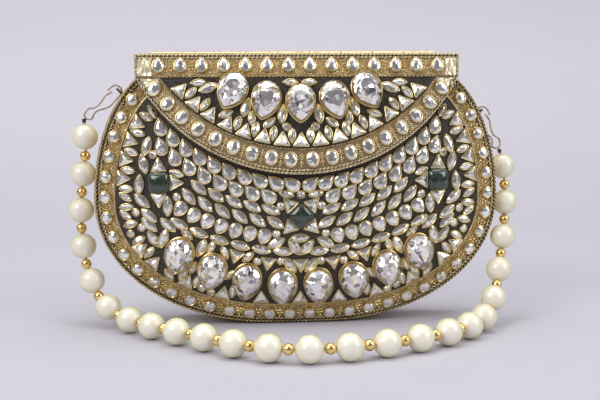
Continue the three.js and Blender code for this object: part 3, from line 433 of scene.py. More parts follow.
def lay_panel():
    """Stones of the front panel: kind, x, z and turn."""
    ground = within(inset(bag_outline(MOUTH), PANEL_BORDER + 0.2))
    field = Field(lambda x, z: not under_flap(x, z) and ground(x, z))
    for x, z, turn in PANEL_CRYSTALS:
        field.hold(x, z, placed(COLLET_CORNERS, x, z, turn), CRYSTAL_LENGTH * 0.6)
    for x, z, turn in GREENS:
        field.hold(x, z, placed(SQUARE, x, z, turn), CRYSTAL_LENGTH * 0.6)
    length = STONE_SIZES["triangle"][0]
    away = GREEN_SIDE / 2 + length * 0.45 + 2 * STONE_GAP
    for quarter in range(4):
        turn = quarter * math.pi / 2
        corner = turn + math.pi / 4
        x, z = CENTRE_GREEN
        field.lay("triangle", x - away * math.sin(corner), z + away * math.cos(corner), corner, False)
        x, z = -SIDE_GREEN[0], SIDE_GREEN[1]
        if quarter != 1:
            field.lay("triangle", x - away * math.sin(turn), z + away * math.cos(turn), turn)
    # Ring of triangles on the border line, slim ones between them and a round at each tip
    line = inset(bag_outline(MOUTH), PANEL_BORDER)
    ring = along_left(line, 0, RING_PITCH)

    def inwards(stop, reach):
        x, z, turn = stop
        return x - math.sin(turn) * reach, z + math.cos(turn) * reach, turn
    for stop in ring:
        field.lay("triangle", *inwards(stop, length * 0.45 + 0.5))
    for stop in along_left(line, RING_PITCH / 2, RING_PITCH):
        field.lay("slim", *inwards(stop, STONE_SIZES["slim"][0] * 0.5 + 1.6))
    for kind, off, pitch, lean, first in STONE_ROWS:
        radius = FLAP_RADIUS + off
        for walked in np.arange(first, radius * 1.25, pitch):
            swing = walked / radius
            field.lay(kind, *on_arc(radius, ARC_CENTRE, -swing), math.radians(lean) - swing)
    # Slim ones over the centre stone and a short row of bright drops under it
    field.lay("round", 0, CENTRE_GREEN[1] + 10.6, 0)
    field.lay("slim", -7.2, CENTRE_GREEN[1] + 10.8, math.radians(80))
    for place in (0.5, 1.5):
        field.lay("bright_drop", -place * 7.6, CENTRE_GREEN[1] - 14.2 + place * 0.4, 0)
    for stop in ring:
        field.lay("round", *inwards(stop, length + 2.6))
    # Triangles over the gaps between the crystals, and a slim one in each gap
    for i in range(4):
        swing = -(3 - i) * CRYSTAL_STEP / CRYSTAL_ARC
        for kind, off, turn in (("triangle", -9.6, math.pi + swing), ("slim", 3.4, swing)):
            field.lay(kind, *on_arc(CRYSTAL_ARC + off, CRYSTAL_CENTRE, swing), turn)
    for x, z, turn in along_left(inset(bag_outline(MOUTH), PANEL_BORDER + 11.6), 40, 9.6):
        field.lay("marquise", x, z, turn + math.pi / 2)
    fill(field, -HALF, PANEL_BORDER, 0, SHOULDER, 2.3)
    return field.stones


def lay_flap():
    """Stones of the flap inside its border."""
    field = Field(lambda x, z: z < BAND_BOTTOM - 0.6 and math.hypot(x, z - INNER_CENTRE) < INNER_RADIUS - 0.5)
    for x, z, turn in FLAP_CRYSTALS:
        field.hold(x, z, placed(COLLET_CORNERS, x, z, turn), CRYSTAL_LENGTH * 0.6)

    def inwards(walked, reach):
        swing = -walked / INNER_RADIUS
        return *on_arc(INNER_RADIUS - reach, INNER_CENTRE, swing), swing
    for walked in np.arange(0, INNER_RADIUS, FLAP_RING_PITCH):
        field.lay("triangle", *inwards(walked, STONE_SIZES["triangle"][0] * 0.45 + 0.8))
    for walked in np.arange(FLAP_RING_PITCH / 2, INNER_RADIUS, FLAP_RING_PITCH):
        field.lay("slim", *inwards(walked, STONE_SIZES["slim"][0] * 0.5 + 2.2))
    for place in (0.5, 1.5):
        swing = -place * FAN_STEP / FAN_ARC
        field.lay("marquise", *on_arc(FAN_ARC + CRYSTAL_LENGTH / 3, FAN_CENTRE, swing), swing)
    for x in np.arange(-4.6, -NECK, -9):
        field.lay("slim", x, BAND_BOTTOM - 3, math.pi / 2)
    fill(field, -NECK, FLAP_BOTTOM, 0, BAND_BOTTOM, 2.1)
    return field.stones


def lay_panel_border():
    """Round stones along the panel's border, as far as the flap."""
    stones = []
    for x, z, turn in along_left(BORDER_LINE, BORDER_PITCH / 2, BORDER_PITCH):
        if not under_flap(x, z):
            stones += [("border", x, z, turn), ("border", -x, z, -turn)]
    return stones


def lay_flap_borders():
    """Ovals along the flap's border and drops along its top band."""
    stones = []
    for i in range(OVALS_PER_SIDE):
        swing = (i + 0.57) * OVAL_PITCH / FLAP_RADIUS
        x, z = on_arc(oval_radius(i), ARC_CENTRE, swing)
        stones += [("oval", x, z, swing), ("oval", -x, z, -swing)]
    step = (NECK_WIDTH - 2 * BAND_HEIGHT) / (BAND_STONES - 1)
    for i in range(BAND_STONES):
        stones.append(("band_drop", (i - (BAND_STONES - 1) / 2) * step, BAND_BOTTOM + BAND_HEIGHT * 0.47, 0))
    return stones


# Nodes and finishes

def put(tree, kind, sockets=(), **settings):
    """Adds a node, with its settings and what its sockets take: values, or what other nodes give out."""
    node = tree.nodes.new(kind)
    for name, value in settings.items():
        setattr(node, name, value)
    for socket, value in dict(sockets).items():
        if isinstance(value, bpy.types.NodeSocket):
            tree.links.new(value, node.inputs[socket])
        else:
            node.inputs[socket].default_value = value
    return node


def ramp_node(tree, source, stops):
    """Colours or greys at places from 0 to 1 along a pattern."""
    node = put(tree, "ShaderNodeValToRGB", {"Fac": source})
    elements = node.color_ramp.elements
    while len(elements) < len(stops):
        elements.new(0.5)
    for element, (place, colour) in zip(elements, stops):
        element.position = place
        element.color = (*colour, 1) if isinstance(colour, tuple) else (colour, colour, colour, 1)
    return node.outputs["Color"]


class Finish:
    """A material in the making. Its patterns read the piece's own coordinates, in metres."""

    def __init__(self, name, colour, metallic=0.0, roughness=0.5, **sockets):
        self.material = bpy.data.materials.new(name)
        self.material.use_nodes = True
        self.tree = self.material.node_tree
        self.shader = self.tree.nodes["Principled BSDF"]
        self.own = self.put("ShaderNodeTexCoord").outputs["Object"]
        sockets = {"base_color": (*colour, 1), "metallic": metallic, "roughness": roughness, **sockets}
        for socket, value in sockets.items():
            self.shader.inputs[socket.replace("_", " ").title().replace("Ior", "IOR")].default_value = value

    def put(self, kind, sockets=(), **settings):
        return put(self.tree, kind, sockets, **settings)

    def noise(self, size, detail=3.0, rough=0.55, distortion=0.0):
        """Cloudy variation whose patches are about a size across, in millimetres."""
        return self.put("ShaderNodeTexNoise", {
            "Vector": self.own, "Scale": 1000 / size, "Detail": detail, "Roughness": rough,
            "Distortion": distortion,
        }).outputs["Fac"]

    def cells(self, size, output="Distance", loose=1.0):
        """Grains or facets of about a size across, in millimetres."""
        sockets = {"Vector": self.own, "Scale": 1000 / size, "Randomness": loose}
        return self.put("ShaderNodeTexVoronoi", sockets).outputs[output]

    def ramp(self, source, *stops):
        return ramp_node(self.tree, source, stops)

    def sums(self, operation, a, b):
        return self.put("ShaderNodeMath", {0: a, 1: b}, operation=operation).outputs[0]

    def mixed(self, share, a, b, blend="MIX"):
        """Two colours or patterns, mixed by a share."""
        sockets = {0: share}
        for index, value in ((6, a), (7, b)):
            sockets[index] = (*value, 1) if isinstance(value, tuple) else value
        return self.put("ShaderNodeMix", sockets, data_type="RGBA", blend_type=blend).outputs[2]

    def drive(self, socket, source):
        self.tree.links.new(source, self.shader.inputs[socket])

    def vary(self, socket, pattern, *stops):
        """Lets a pattern set a socket of the shader."""
        self.drive(socket, self.ramp(pattern, *stops))

    def bump(self, height, depth, strength=1.0):
        """Relief of a depth in millimetres."""
        sockets = {"Distance": depth * MM, "Strength": strength, "Height": height}
        self.drive("Normal", self.put("ShaderNodeBump", sockets).outputs["Normal"])

    def tilt(self, size, amount):
        """Facets seen in a foil or behind a stone: each cell leans its own way."""
        def vector(operation, sockets):
            return self.put("ShaderNodeVectorMath", sockets, operation=operation).outputs[0]
        lean = vector("SUBTRACT", {0: self.cells(size, "Color"), 1: (0.5, 0.5, 0.5)})
        scaled = vector("SCALE", {0: lean, "Scale": amount})
        leaned = vector("ADD", {0: scaled, 1: self.put("ShaderNodeNewGeometry").outputs["Normal"]})
        self.drive("Normal", vector("NORMALIZE", {0: leaned}))


def worn_gold(name, pale, deep, wear=0.5, rough=(0.22, 0.45), grain=0.9, depth=0.05, hollows=False):
    """Gilt that is bright where it is rubbed and brown where polish and grime stay. With hollows, ambient
    occlusion paints shade into its grooves and into the gaps beside it.
    """
    finish = Finish(name, pale, 1.0)
    fine = finish.noise(grain, 5, 0.65)
    wide = finish.sums("MULTIPLY", finish.noise(6, 4), 0.45)
    both = finish.sums("ADD", wide, finish.sums("MULTIPLY", fine, 0.55))
    colour = finish.ramp(both, (wear - 0.16, deep), (wear + 0.02, pale))
    if hollows:
        # Painted shade: ambient occlusion mixes a near-black colour into the gilt in the rope's grooves and
        # in the gaps beside it.
        reach = {"Distance": 1.5 * MM}
        openness = finish.put("ShaderNodeAmbientOcclusion", reach, samples=6).outputs["AO"]
        painted_groove_shade = tuple(c * 0.2 for c in deep)
        colour = finish.mixed(finish.ramp(openness, (0.5, 0.0), (0.88, 1.0)), painted_groove_shade, colour)
    finish.drive("Base Color", colour)
    finish.vary("Roughness", both, (0.35, rough[1]), (0.62, rough[0]))
    finish.bump(fine, depth)
    return finish.material


def stamped_gold(name, pale, deep):
    """Thin gilt sheet pressed into beads and hollows, brown in the hollows."""
    finish = Finish(name, pale, 1.0)
    beads = finish.sums("MULTIPLY", finish.cells(1.1, loose=0.85), 0.9)
    folds = finish.sums("MULTIPLY", finish.noise(2.6, 4, 0.6, 0.6), 0.8)
    height = finish.sums("SUBTRACT", folds, beads)
    finish.vary("Base Color", height, (0.02, deep), (0.2, pale))
    finish.vary("Roughness", height, (0.0, 0.6), (0.25, 0.24))
    finish.bump(height, 0.45, 0.8)
    return finish.material


def foil_backed_glass():
    """Clear low stones over crinkled silver foil."""
    finish = Finish("foil_backed_glass", (0.95, 0.93, 0.9), 1.0, 0.22, coat_weight=1.0, coat_roughness=0.03)
    crinkles = finish.noise(3.4, 3, 0.5)
    cloud = finish.ramp(crinkles, (0.36, (0.58, 0.57, 0.52)), (0.52, (0.98, 0.975, 0.93)))
    # Painted reflection: towards its edge the glass takes the colour of its gold rim, standing in for the
    # bezel seen in the glass.
    rim = finish.put("ShaderNodeAttribute", attribute_name="rim").outputs["Fac"]
    share = finish.ramp(rim, (0.25, 0.0), (1.0, 0.85))
    finish.drive("Base Color", finish.mixed(share, cloud, (0.56, 0.5, 0.29)))
    finish.vary("Roughness", crinkles, (0.3, 0.32), (0.6, 0.14))
    finish.tilt(1.7, 0.32)
    return finish.material


def cut_crystal():
    """Cut glass over silver: inner facets lean every way under a smooth coat, and each is painted dark, grey
    and clear as painted reflections.
    """
    finish = Finish("cut_crystal", (0.95, 0.94, 0.95), 1.0, 0.13, coat_weight=1.0, coat_roughness=0.02)
    facets = finish.put("ShaderNodeSeparateColor", {0: finish.cells(2.3, "Color")}).outputs[0]
    # Painted reflection: the facet cells are coloured dark, grey and clear, standing in for the dark and
    # bright surroundings they mirror.
    dark, grey, clear = (0.36, 0.35, 0.35), (0.8, 0.77, 0.75), (1.0, 0.97, 0.95)
    finish.vary("Base Color", facets, (0.06, dark), (0.14, grey), (0.4, clear))
    finish.tilt(2.3, 0.5)
    return finish.material


def green_glass():
    """Dark green glass with cloudy flaws."""
    finish = Finish(
        "green_glass", (0.01, 0.05, 0.032), 0.0, 0.12,
        coat_weight=1.0, coat_roughness=0.05, specular_ior_level=0.6,
    )
    flaws = finish.noise(2.2, 4, 0.6)
    finish.vary("Base Color", flaws, (0.38, (0.005, 0.014, 0.008)), (0.66, (0.028, 0.06, 0.036)))
    finish.bump(finish.noise(1.6, 2), 0.18, 0.6)
    return finish.material


def black_lac():
    """Dark resin that holds the stones, a little uneven and dusty."""
    finish = Finish("black_lac", (0.03, 0.024, 0.019), 0.0, 0.42)
    dust = finish.noise(1.3, 5, 0.65)
    finish.vary("Base Color", dust, (0.42, (0.022, 0.017, 0.013)), (0.72, (0.085, 0.068, 0.05)))
    finish.vary("Roughness", dust, (0.4, 0.32), (0.7, 0.62))
    finish.bump(finish.noise(0.9, 4, 0.6), 0.16, 0.7)
    return finish.material


def pearl_coat():
    """Cream coat that turns greenish yellow towards the bead's edge."""
    finish = Finish(
        "pearl_coat", (0.86, 0.83, 0.72), 0.0, 0.3, coat_weight=1.0, coat_roughness=0.16,
        subsurface_weight=0.12, subsurface_scale=2 * MM, subsurface_radius=(1.0, 0.9, 0.7),
        specular_ior_level=0.6,
    )
    edge = finish.put("ShaderNodeLayerWeight", {"Blend": 0.42}).outputs["Facing"]
    rim = finish.ramp(edge, (0.15, (0.94, 0.9, 0.77)), (0.7, (0.8, 0.78, 0.42)))
    cloud = finish.ramp(finish.noise(5, 2), (0.3, (0.95, 0.93, 0.92)), (0.7, 1.0))
    finish.drive("Base Color", finish.mixed(1.0, rim, cloud, "MULTIPLY"))
    return finish.material


def velvet():
    """Short wine-red pile, laid this way and that."""
    finish = Finish(
        "velvet", (0.14, 0.02, 0.045), 0.0, 0.92,
        sheen_weight=0.8, sheen_roughness=0.4, sheen_tint=(0.6, 0.2, 0.28, 1),
    )
    nap = finish.noise(14, 3, 0.5, 0.5)
    finish.vary("Base Color", nap, (0.35, (0.09, 0.012, 0.028)), (0.68, (0.2, 0.035, 0.068)))
    finish.bump(finish.noise(0.35, 3), 0.12, 0.8)
    return finish.material


def brass_sheet():
    """Antique brass sheet: shallow planishing marks, with brown clouds in the polish."""
    finish = Finish("brass_sheet", (0.72, 0.56, 0.3), 1.0, 0.3)
    finish.vary("Base Color", finish.noise(18, 5, 0.6), (0.3, (0.6, 0.46, 0.24)), (0.64, (0.74, 0.59, 0.33)))
    finish.vary("Roughness", finish.noise(2.5, 5, 0.7), (0.35, 0.18), (0.7, 0.28))
    finish.bump(finish.noise(7, 1, 0.4), 0.7, 0.6)
    return finish.material


def drawn_wire(name, colour, rough):
    """Plain metal, a little dull in patches."""
    finish = Finish(name, colour, 1.0, rough)
    finish.vary("Roughness", finish.noise(1.5, 4), (0.35, rough * 0.7), (0.7, rough * 1.5))
    finish.vary("Base Color", finish.noise(3, 4), (0.3, tuple(c * 0.6 for c in colour)), (0.55, colour))
    finish.bump(finish.noise(0.6, 3), 0.02)
    return finish.material


PAINT = {
    "gilt": worn_gold("gilt_bezels", (0.78, 0.62, 0.32), (0.44, 0.31, 0.13), 0.47),
    "rope": worn_gold("gilt_rope", (0.82, 0.68, 0.42), (0.36, 0.26, 0.13), 0.48, hollows=True),
    "dark_rope": worn_gold(
        "antique_rope", (0.55, 0.42, 0.22), (0.2, 0.13, 0.06), 0.5, (0.3, 0.5), hollows=True,
    ),
    "stamped": stamped_gold("stamped_gilt", (0.84, 0.72, 0.44), (0.44, 0.32, 0.16)),
    "bright": worn_gold("granule_gold", (0.95, 0.82, 0.55), (0.75, 0.6, 0.34), 0.42, (0.24, 0.34)),
    "brown": worn_gold("brown_gilt", (0.5, 0.38, 0.22), (0.3, 0.2, 0.1), 0.48, (0.34, 0.5), 0.7, 0.12),
    "foil": worn_gold("bright_foil", (1.0, 0.93, 0.66), (0.97, 0.85, 0.52), 0.42, (0.36, 0.46), 4, 0.1),
    "hinge": worn_gold("hinge_brass", (0.78, 0.62, 0.34), (0.4, 0.28, 0.12), 0.46, (0.28, 0.42), 3, 0.02),
    "brass": brass_sheet(),
    "lac": black_lac(),
    "glass": foil_backed_glass(),
    "crystal": cut_crystal(),
    "green": green_glass(),
    "pearl": pearl_coat(),
    "velvet": velvet(),
    "spacer": drawn_wire("polished_gold", (0.95, 0.7, 0.28), 0.16),
    "thread": drawn_wire("coated_thread", (0.8, 0.62, 0.25), 0.4),
    "copper": drawn_wire("copper_wire", (0.6, 0.47, 0.38), 0.34),
    "dark": drawn_wire("oxidised_brass", (0.12, 0.1, 0.08), 0.45),
    "magnet": drawn_wire("nickel_plate", (0.62, 0.62, 0.6), 0.28),
}


# Tools that make pieces

def in_scene(name, data):
    thing = bpy.data.objects.new(name, data)
    bpy.context.collection.objects.link(thing)
    return thing


def raw_mesh(name, points, edges=(), faces=()):
    """A mesh from points in millimetres."""
    mesh = bpy.data.meshes.new(name)
    mesh.from_pydata((np.asarray(points, float) * MM).tolist(), list(edges), list(faces))
    return mesh


def rebuilt(mesh, change):
    """A mesh after a change to its faces and edges."""
    build = bmesh.new()
    build.from_mesh(mesh)
    change(build)
    build.to_mesh(mesh)
    build.free()
    return mesh


def mesh_of(name, shape, finish, crease=32):
    """A mesh from points and faces, its faces turned outwards and its edges sharp past an angle."""
    points, faces = shape
    mesh = raw_mesh(name, points, (), faces)
    rebuilt(mesh, lambda build: bmesh.ops.recalc_face_normals(build, faces=build.faces))
    mesh.materials.append(PAINT[finish])
    mesh.shade_smooth()
    mesh.set_sharp_from_angle(angle=math.radians(crease))
    return mesh


def shown(name, data, body, slot, *stands_for):
    """Puts a mesh or a curve in the scene as a piece of the bag."""
    thing = in_scene(name, data)
    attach(thing, body)
    if stands_for:
        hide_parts(*stands_for)
    return thing


def at_height(outline, height):
    """A flat outline at a height."""
    return np.column_stack([outline, np.full(len(outline), height)])


def upright(outline, scale, height):
    """A flat outline scaled about its middle, at a height."""
    centre = outline.mean(0)
    return at_height(centre + (outline - centre) * scale, height)


def circle(sides, radius=1.0):
    """Corners of a flat round form about the middle."""
    angle = np.arange(sides) * 2 * math.pi / sides
    return np.column_stack([np.cos(angle), np.sin(angle)]) * radius


def loft(rings, closed=False):
    """Points and faces through rings of equally many points, capped unless the rings close up."""
    n, count = len(rings[0]), len(rings)
    faces = []
    for k in range(count if closed else count - 1):
        low, high = k * n, ((k + 1) % count) * n
        faces += [(low + i, low + (i + 1) % n, high + (i + 1) % n, high + i) for i in range(n)]
    if not closed:
        faces += [tuple(range(n))[::-1], tuple(range((count - 1) * n, count * n))]
    return np.vstack(rings), faces


def turned(profile, sides, y=0.0, z=0.0, closed=False):
    """Round form about a line along X, from points (x, radius)."""
    return loft([np.column_stack([np.full(sides, x), circle(sides, r) + [y, z]]) for x, r in profile], closed)


def gathered(parts):
    """Several (points, faces) as one."""
    points, faces, offset = [], [], 0
    for part_points, part_faces in parts:
        points.append(part_points)
        faces += [tuple(i + offset for i in face) for face in part_faces]
        offset += len(part_points)
    return np.vstack(points), faces


def grid_quads(grid):
    """Numbers of a grid's points, and the faces between them."""
    at = np.arange(grid.shape[0] * grid.shape[1]).reshape(grid.shape[:2])
    return at, np.stack([at[:-1, :-1], at[:-1, 1:], at[1:, 1:], at[1:, :-1]], -1).reshape(-1, 4)


def sheet_between(front, back):
    """Closed sheet between two grids of points."""
    at, quads = grid_quads(front)
    lift = at.size
    faces = [tuple(q) for q in quads.tolist()] + [tuple(q) for q in (quads[:, ::-1] + lift).tolist()]
    rim = [*at[0, :-1], *at[:-1, -1], *at[-1, :0:-1], *at[:0:-1, 0]]
    for a, b in zip(rim, rim[1:] + rim[:1]):
        faces.append((int(b), int(a), int(a + lift), int(b + lift)))
    return np.vstack([front.reshape(-1, 3), back.reshape(-1, 3)]), faces


def block(low, high):
    """Box between two corners."""
    x, y, z = zip(low, high)
    points = [(x[i], y[j], z[k]) for i in (0, 1) for j in (0, 1) for k in (0, 1)]
    faces = [(0, 1, 3, 2), (4, 6, 7, 5), (0, 4, 5, 1), (2, 3, 7, 6), (0, 2, 6, 4), (1, 5, 7, 3)]
    return np.array(points, float), faces


def softened(mesh, width):
    """Rounds the sharp edges of a mesh."""
    def bevel(build):
        sharp = [e for e in build.edges if len(e.link_faces) == 2 and e.calc_face_angle() > math.radians(40)]
        bmesh.ops.bevel(build, geom=sharp, offset=width * MM, segments=2, profile=0.5, affect="EDGES")
    rebuilt(mesh, bevel)
    mesh.shade_smooth()
    mesh.set_sharp_from_angle(angle=math.radians(50))
    return mesh


def merged(name, first, *others):
    """Several meshes with one finish as one."""
    whole = rebuilt(first.copy(), lambda build: [build.from_mesh(mesh) for mesh in others])
    whole.name = name
    return whole


def tube(points, diameter, sides, ends):
    """Round wire through points, with its ends drawn in to a share of its width."""
    points = np.asarray(points, float)
    along = np.gradient(points, axis=0)
    along /= np.linalg.norm(along, axis=1)[:, None]
    side = np.cross(along[0], [0, 1, 0.01])
    angle = np.arange(sides)[:, None] * 2 * math.pi / sides
    rings = []
    for i, (p, a) in enumerate(zip(points, along)):
        side = side - a * (side @ a)
        side /= np.linalg.norm(side)
        other = np.cross(a, side)
        swell = ends if i in (0, len(points) - 1) else 1
        rings.append(p + (np.cos(angle) * side + np.sin(angle) * other) * diameter / 2 * swell)
    return loft(rings)


def smooth_line(points, count):
    """Even points along a smooth curve through a few, as the source's centripetal curve, and its length."""
    p = np.asarray(points, float)
    p = np.vstack([2 * p[0] - p[1], p, 2 * p[-1] - p[-2]])
    curve = []
    for a, b, c, d in zip(p, p[1:], p[2:], p[3:]):
        u, v, w = (max(1e-4, np.linalg.norm(q) ** 0.5) for q in (b - a, c - b, d - c))
        leave = ((b - a) / u - (c - a) / (u + v) + (c - b) / v) * v
        arrive = ((c - b) / v - (d - b) / (v + w) + (d - c) / w) * v
        t = np.linspace(0, 1, 60, endpoint=False)[:, None]
        bend, end = 3 * (c - b) - 2 * leave - arrive, 2 * (b - c) + leave + arrive
        curve.append(b + leave * t + bend * t**2 + end * t**3)
    curve = np.vstack([*curve, p[-2:-1]])
    walked = np.append(0, np.cumsum(np.linalg.norm(np.diff(curve, axis=0), axis=1)))
    even = np.linspace(0, walked[-1], count)
    return np.column_stack([np.interp(even, walked, curve[:, k]) for k in range(3)]), walked[-1]


# What repeats: geometry nodes that lay pattern pieces, twist ropes and scatter granules

def new_tree(name, **inputs):
    """A tree of geometry nodes with named inputs."""
    tree = bpy.data.node_groups.new(name, "GeometryNodeTree")
    for label, kind in {"Geometry": "Geometry", **inputs}.items():
        tree.interface.new_socket(label, in_out="INPUT", socket_type="NodeSocket" + kind)
    tree.interface.new_socket("Geometry", in_out="OUTPUT", socket_type="NodeSocketGeometry")
    return tree, tree.nodes.new("NodeGroupInput").outputs


def finished(tree, geometry, material):
    """Ends a tree: real geometry, with its finish on."""
    real = put(tree, "GeometryNodeRealizeInstances", {"Geometry": geometry}).outputs[0]
    dressed = put(tree, "GeometryNodeSetMaterial", {"Geometry": real, "Material": material}).outputs[0]
    put(tree, "NodeGroupOutput", {0: dressed})
    return tree


def laying_tree():
    """Lays a pattern piece on each point, turned as it stands there, with the small tremor of handwork."""
    tree, given = new_tree(
        "laid_pieces", Patterns="Collection", Tremor="Float", Seed="Int", Finish="Material",
    )
    patterns = put(tree, "GeometryNodeCollectionInfo", {
        "Collection": given["Patterns"], "Separate Children": True, "Reset Children": True,
    }).outputs[0]
    named = "GeometryNodeInputNamedAttribute"
    kind = put(tree, named, {"Name": "kind"}, data_type="INT").outputs[0]
    stance = put(tree, named, {"Name": "stance"}, data_type="QUATERNION").outputs[0]
    laid = put(tree, "GeometryNodeInstanceOnPoints", {
        "Points": given["Geometry"], "Instance": patterns, "Pick Instance": True, "Instance Index": kind,
        "Rotation": stance,
    }).outputs[0]
    less = put(tree, "ShaderNodeMath", {0: given["Tremor"], 1: -1.0}, operation="MULTIPLY").outputs[0]
    limits = {"Min": less, "Max": given["Tremor"], "Seed": given["Seed"]}
    lean = put(tree, "FunctionNodeRandomValue", limits, data_type="FLOAT_VECTOR").outputs[0]
    shaken = put(tree, "GeometryNodeRotateInstances", {"Instances": laid, "Rotation": lean}).outputs[0]
    return finished(tree, shaken, given["Finish"])


def rope_tree():
    """Twists two strands along a line."""
    tree, given = new_tree(
        "twisted_rope", Diameter="Float", Lay="Float", Groove="Float", Step="Float", Finish="Material",
    )
    strands, sides = 2, 12

    def calc(operation, *values):
        return put(tree, "ShaderNodeMath", dict(enumerate(values)), operation=operation).outputs[0]
    line = put(tree, "GeometryNodeMeshToCurve", {"Mesh": given["Geometry"]}).outputs[0]
    sockets = {"Curve": line, "Length": given["Step"]}
    even = put(tree, "GeometryNodeResampleCurve", sockets, mode="LENGTH").outputs[0]
    walked = put(tree, "GeometryNodeSplineParameter").outputs["Length"]
    angle = calc("MULTIPLY", calc("DIVIDE", walked, given["Lay"]), 2 * math.pi)
    twisting = put(tree, "GeometryNodeSetCurveTilt", {"Curve": even, "Tilt": angle}).outputs[0]
    radius = calc("MULTIPLY", given["Diameter"], 0.5)
    sockets = {"Resolution": sides, "Radius": radius}
    section = put(tree, "GeometryNodeCurvePrimitiveCircle", sockets).outputs[0]
    # The section is drawn in between the strands, at most by the groove's share of its radius.
    phase = calc("MULTIPLY", put(tree, "GeometryNodeInputIndex").outputs[0], strands * math.pi / sides)
    sunk = calc("SUBTRACT", 1.0, calc("ABSOLUTE", calc("COSINE", phase)))
    keep = calc("SUBTRACT", 1.0, calc("MULTIPLY", sunk, given["Groove"]))
    place = put(tree, "GeometryNodeInputPosition").outputs[0]
    drawn = put(tree, "ShaderNodeVectorMath", {0: place, "Scale": keep}, operation="SCALE").outputs[0]
    profile = put(tree, "GeometryNodeSetPosition", {"Geometry": section, "Position": drawn}).outputs[0]
    sockets = {"Curve": twisting, "Profile Curve": profile, "Fill Caps": True}
    return finished(tree, put(tree, "GeometryNodeCurveToMesh", sockets).outputs[0], given["Finish"])


def granule_tree():
    """Scatters granules of several sizes over a strip of ground."""
    tree, given = new_tree(
        "granules", Gap="Float", Density="Float", Radius="Float", Seed="Int", Finish="Material",
    )
    spread = put(tree, "GeometryNodeDistributePointsOnFaces", {
        "Mesh": given["Geometry"], "Distance Min": given["Gap"], "Density Max": given["Density"],
        "Seed": given["Seed"],
    }, distribute_method="POISSON")
    grain = put(tree, "GeometryNodeMeshIcoSphere", {"Radius": given["Radius"], "Subdivisions": 1}).outputs[0]
    size = put(tree, "FunctionNodeRandomValue", {"Seed": given["Seed"]}, data_type="FLOAT")
    limits = {socket.name: socket for socket in size.inputs if socket.enabled}
    limits["Min"].default_value = 0.62
    limits["Max"].default_value = 1.25
    laid = put(tree, "GeometryNodeInstanceOnPoints", {
        "Points": spread.outputs["Points"], "Instance": grain, "Rotation": spread.outputs["Rotation"],
        "Scale": next(socket for socket in size.outputs if socket.enabled),
    }).outputs[0]
    return finished(tree, laid, given["Finish"])


LAYING, ROPE, GRANULES = laying_tree(), rope_tree(), granule_tree()


def grown(name, start, tree, values):
    """Runs a tree on a mesh with its named inputs set, and gives back the plain mesh."""
    bed = in_scene(name, start)
    modifier = bed.modifiers.new(tree.name, "NODES")
    modifier.node_group = tree
    for item in tree.interface.items_tree:
        if item.in_out == "INPUT" and item.name in values:
            modifier[item.identifier] = values[item.name]
    scene = bpy.context.evaluated_depsgraph_get()
    mesh = bpy.data.meshes.new_from_object(bed.evaluated_get(scene), depsgraph=scene)
    bpy.data.objects.remove(bed)
    mesh.name = name
    mesh.shade_smooth()
    return mesh


def laid(name, patterns, places, finish, tremor=0.0, seed=1, crease=32):
    """Copies of pattern pieces at places: each place is (pattern's name, point in millimetres, turn)."""
    box = bpy.data.collections.new(name + "_patterns")
    bpy.context.scene.collection.children.link(box)
    kinds = sorted(patterns)
    for kind in kinds:
        box.objects.link(bpy.data.objects.new(kind, patterns[kind]))
    bed = raw_mesh(name, [point for _, point, _ in places])
    numbers = [kinds.index(kind) for kind, _, _ in places]
    bed.attributes.new("kind", "INT", "POINT").data.foreach_set("value", numbers)
    turns = [part for _, _, turn in places for part in turn]
    bed.attributes.new("stance", "QUATERNION", "POINT").data.foreach_set("value", turns)
    values = {"Patterns": box, "Tremor": math.radians(tremor), "Seed": seed, "Finish": PAINT[finish]}
    mesh = grown(name, bed, LAYING, values)
    for pattern in list(box.objects):
        bpy.data.objects.remove(pattern)
    bpy.data.collections.remove(box)
    mesh.set_sharp_from_angle(angle=math.radians(crease))
    return mesh


def on_panel(name, patterns, places, forward, finish, body, slot, nodes=(), tremor=0.0, seed=1, crease=32):
    """Pattern pieces at places (pattern's name, x, z, turn) on the front dome, as one piece of the bag."""
    points, turns = stances([place[1:] for place in places], forward)
    spots = [(place[0], point, turn) for place, point, turn in zip(places, points, turns)]
    return shown(name, laid(name, patterns, spots, finish, tremor, seed, crease), body, slot, *nodes)


def twisted(
        name, points, finish, diameter, body, slot="gilt_setting",
        lay=4.0, groove=0.8, closed=False, step=0.32):
    """A rope or plain wire along points, as a piece of the bag."""
    n = len(points)
    line = raw_mesh(name, points, [(i, (i + 1) % n) for i in range(n if closed else n - 1)])
    values = {
        "Diameter": diameter * MM, "Lay": lay * MM, "Groove": groove, "Step": step * MM,
        "Finish": PAINT[finish],
    }
    return shown(name, grown(name, line, ROPE, values), body, slot)


def grains(name, strip, gap, radius, seed):
    """Gilt granules scattered over a grid of points."""
    ground = raw_mesh(name, strip.reshape(-1, 3), (), grid_quads(strip)[1].tolist())
    values = {
        "Gap": gap * MM, "Density": 3 / (gap * MM) ** 2, "Radius": radius * MM, "Seed": seed,
        "Finish": PAINT["gilt"],
    }
    return grown(name, ground, GRANULES, values)


def piece(name, shape, finish, body, slot, *stands_for, crease=32):
    """A piece of the bag straight from its points and faces."""
    return shown(name, mesh_of(name, shape, finish, crease), body, slot, *stands_for)


# Strap: a thread of pearls and gold beads that hangs from both hooks and lies in front of the bag

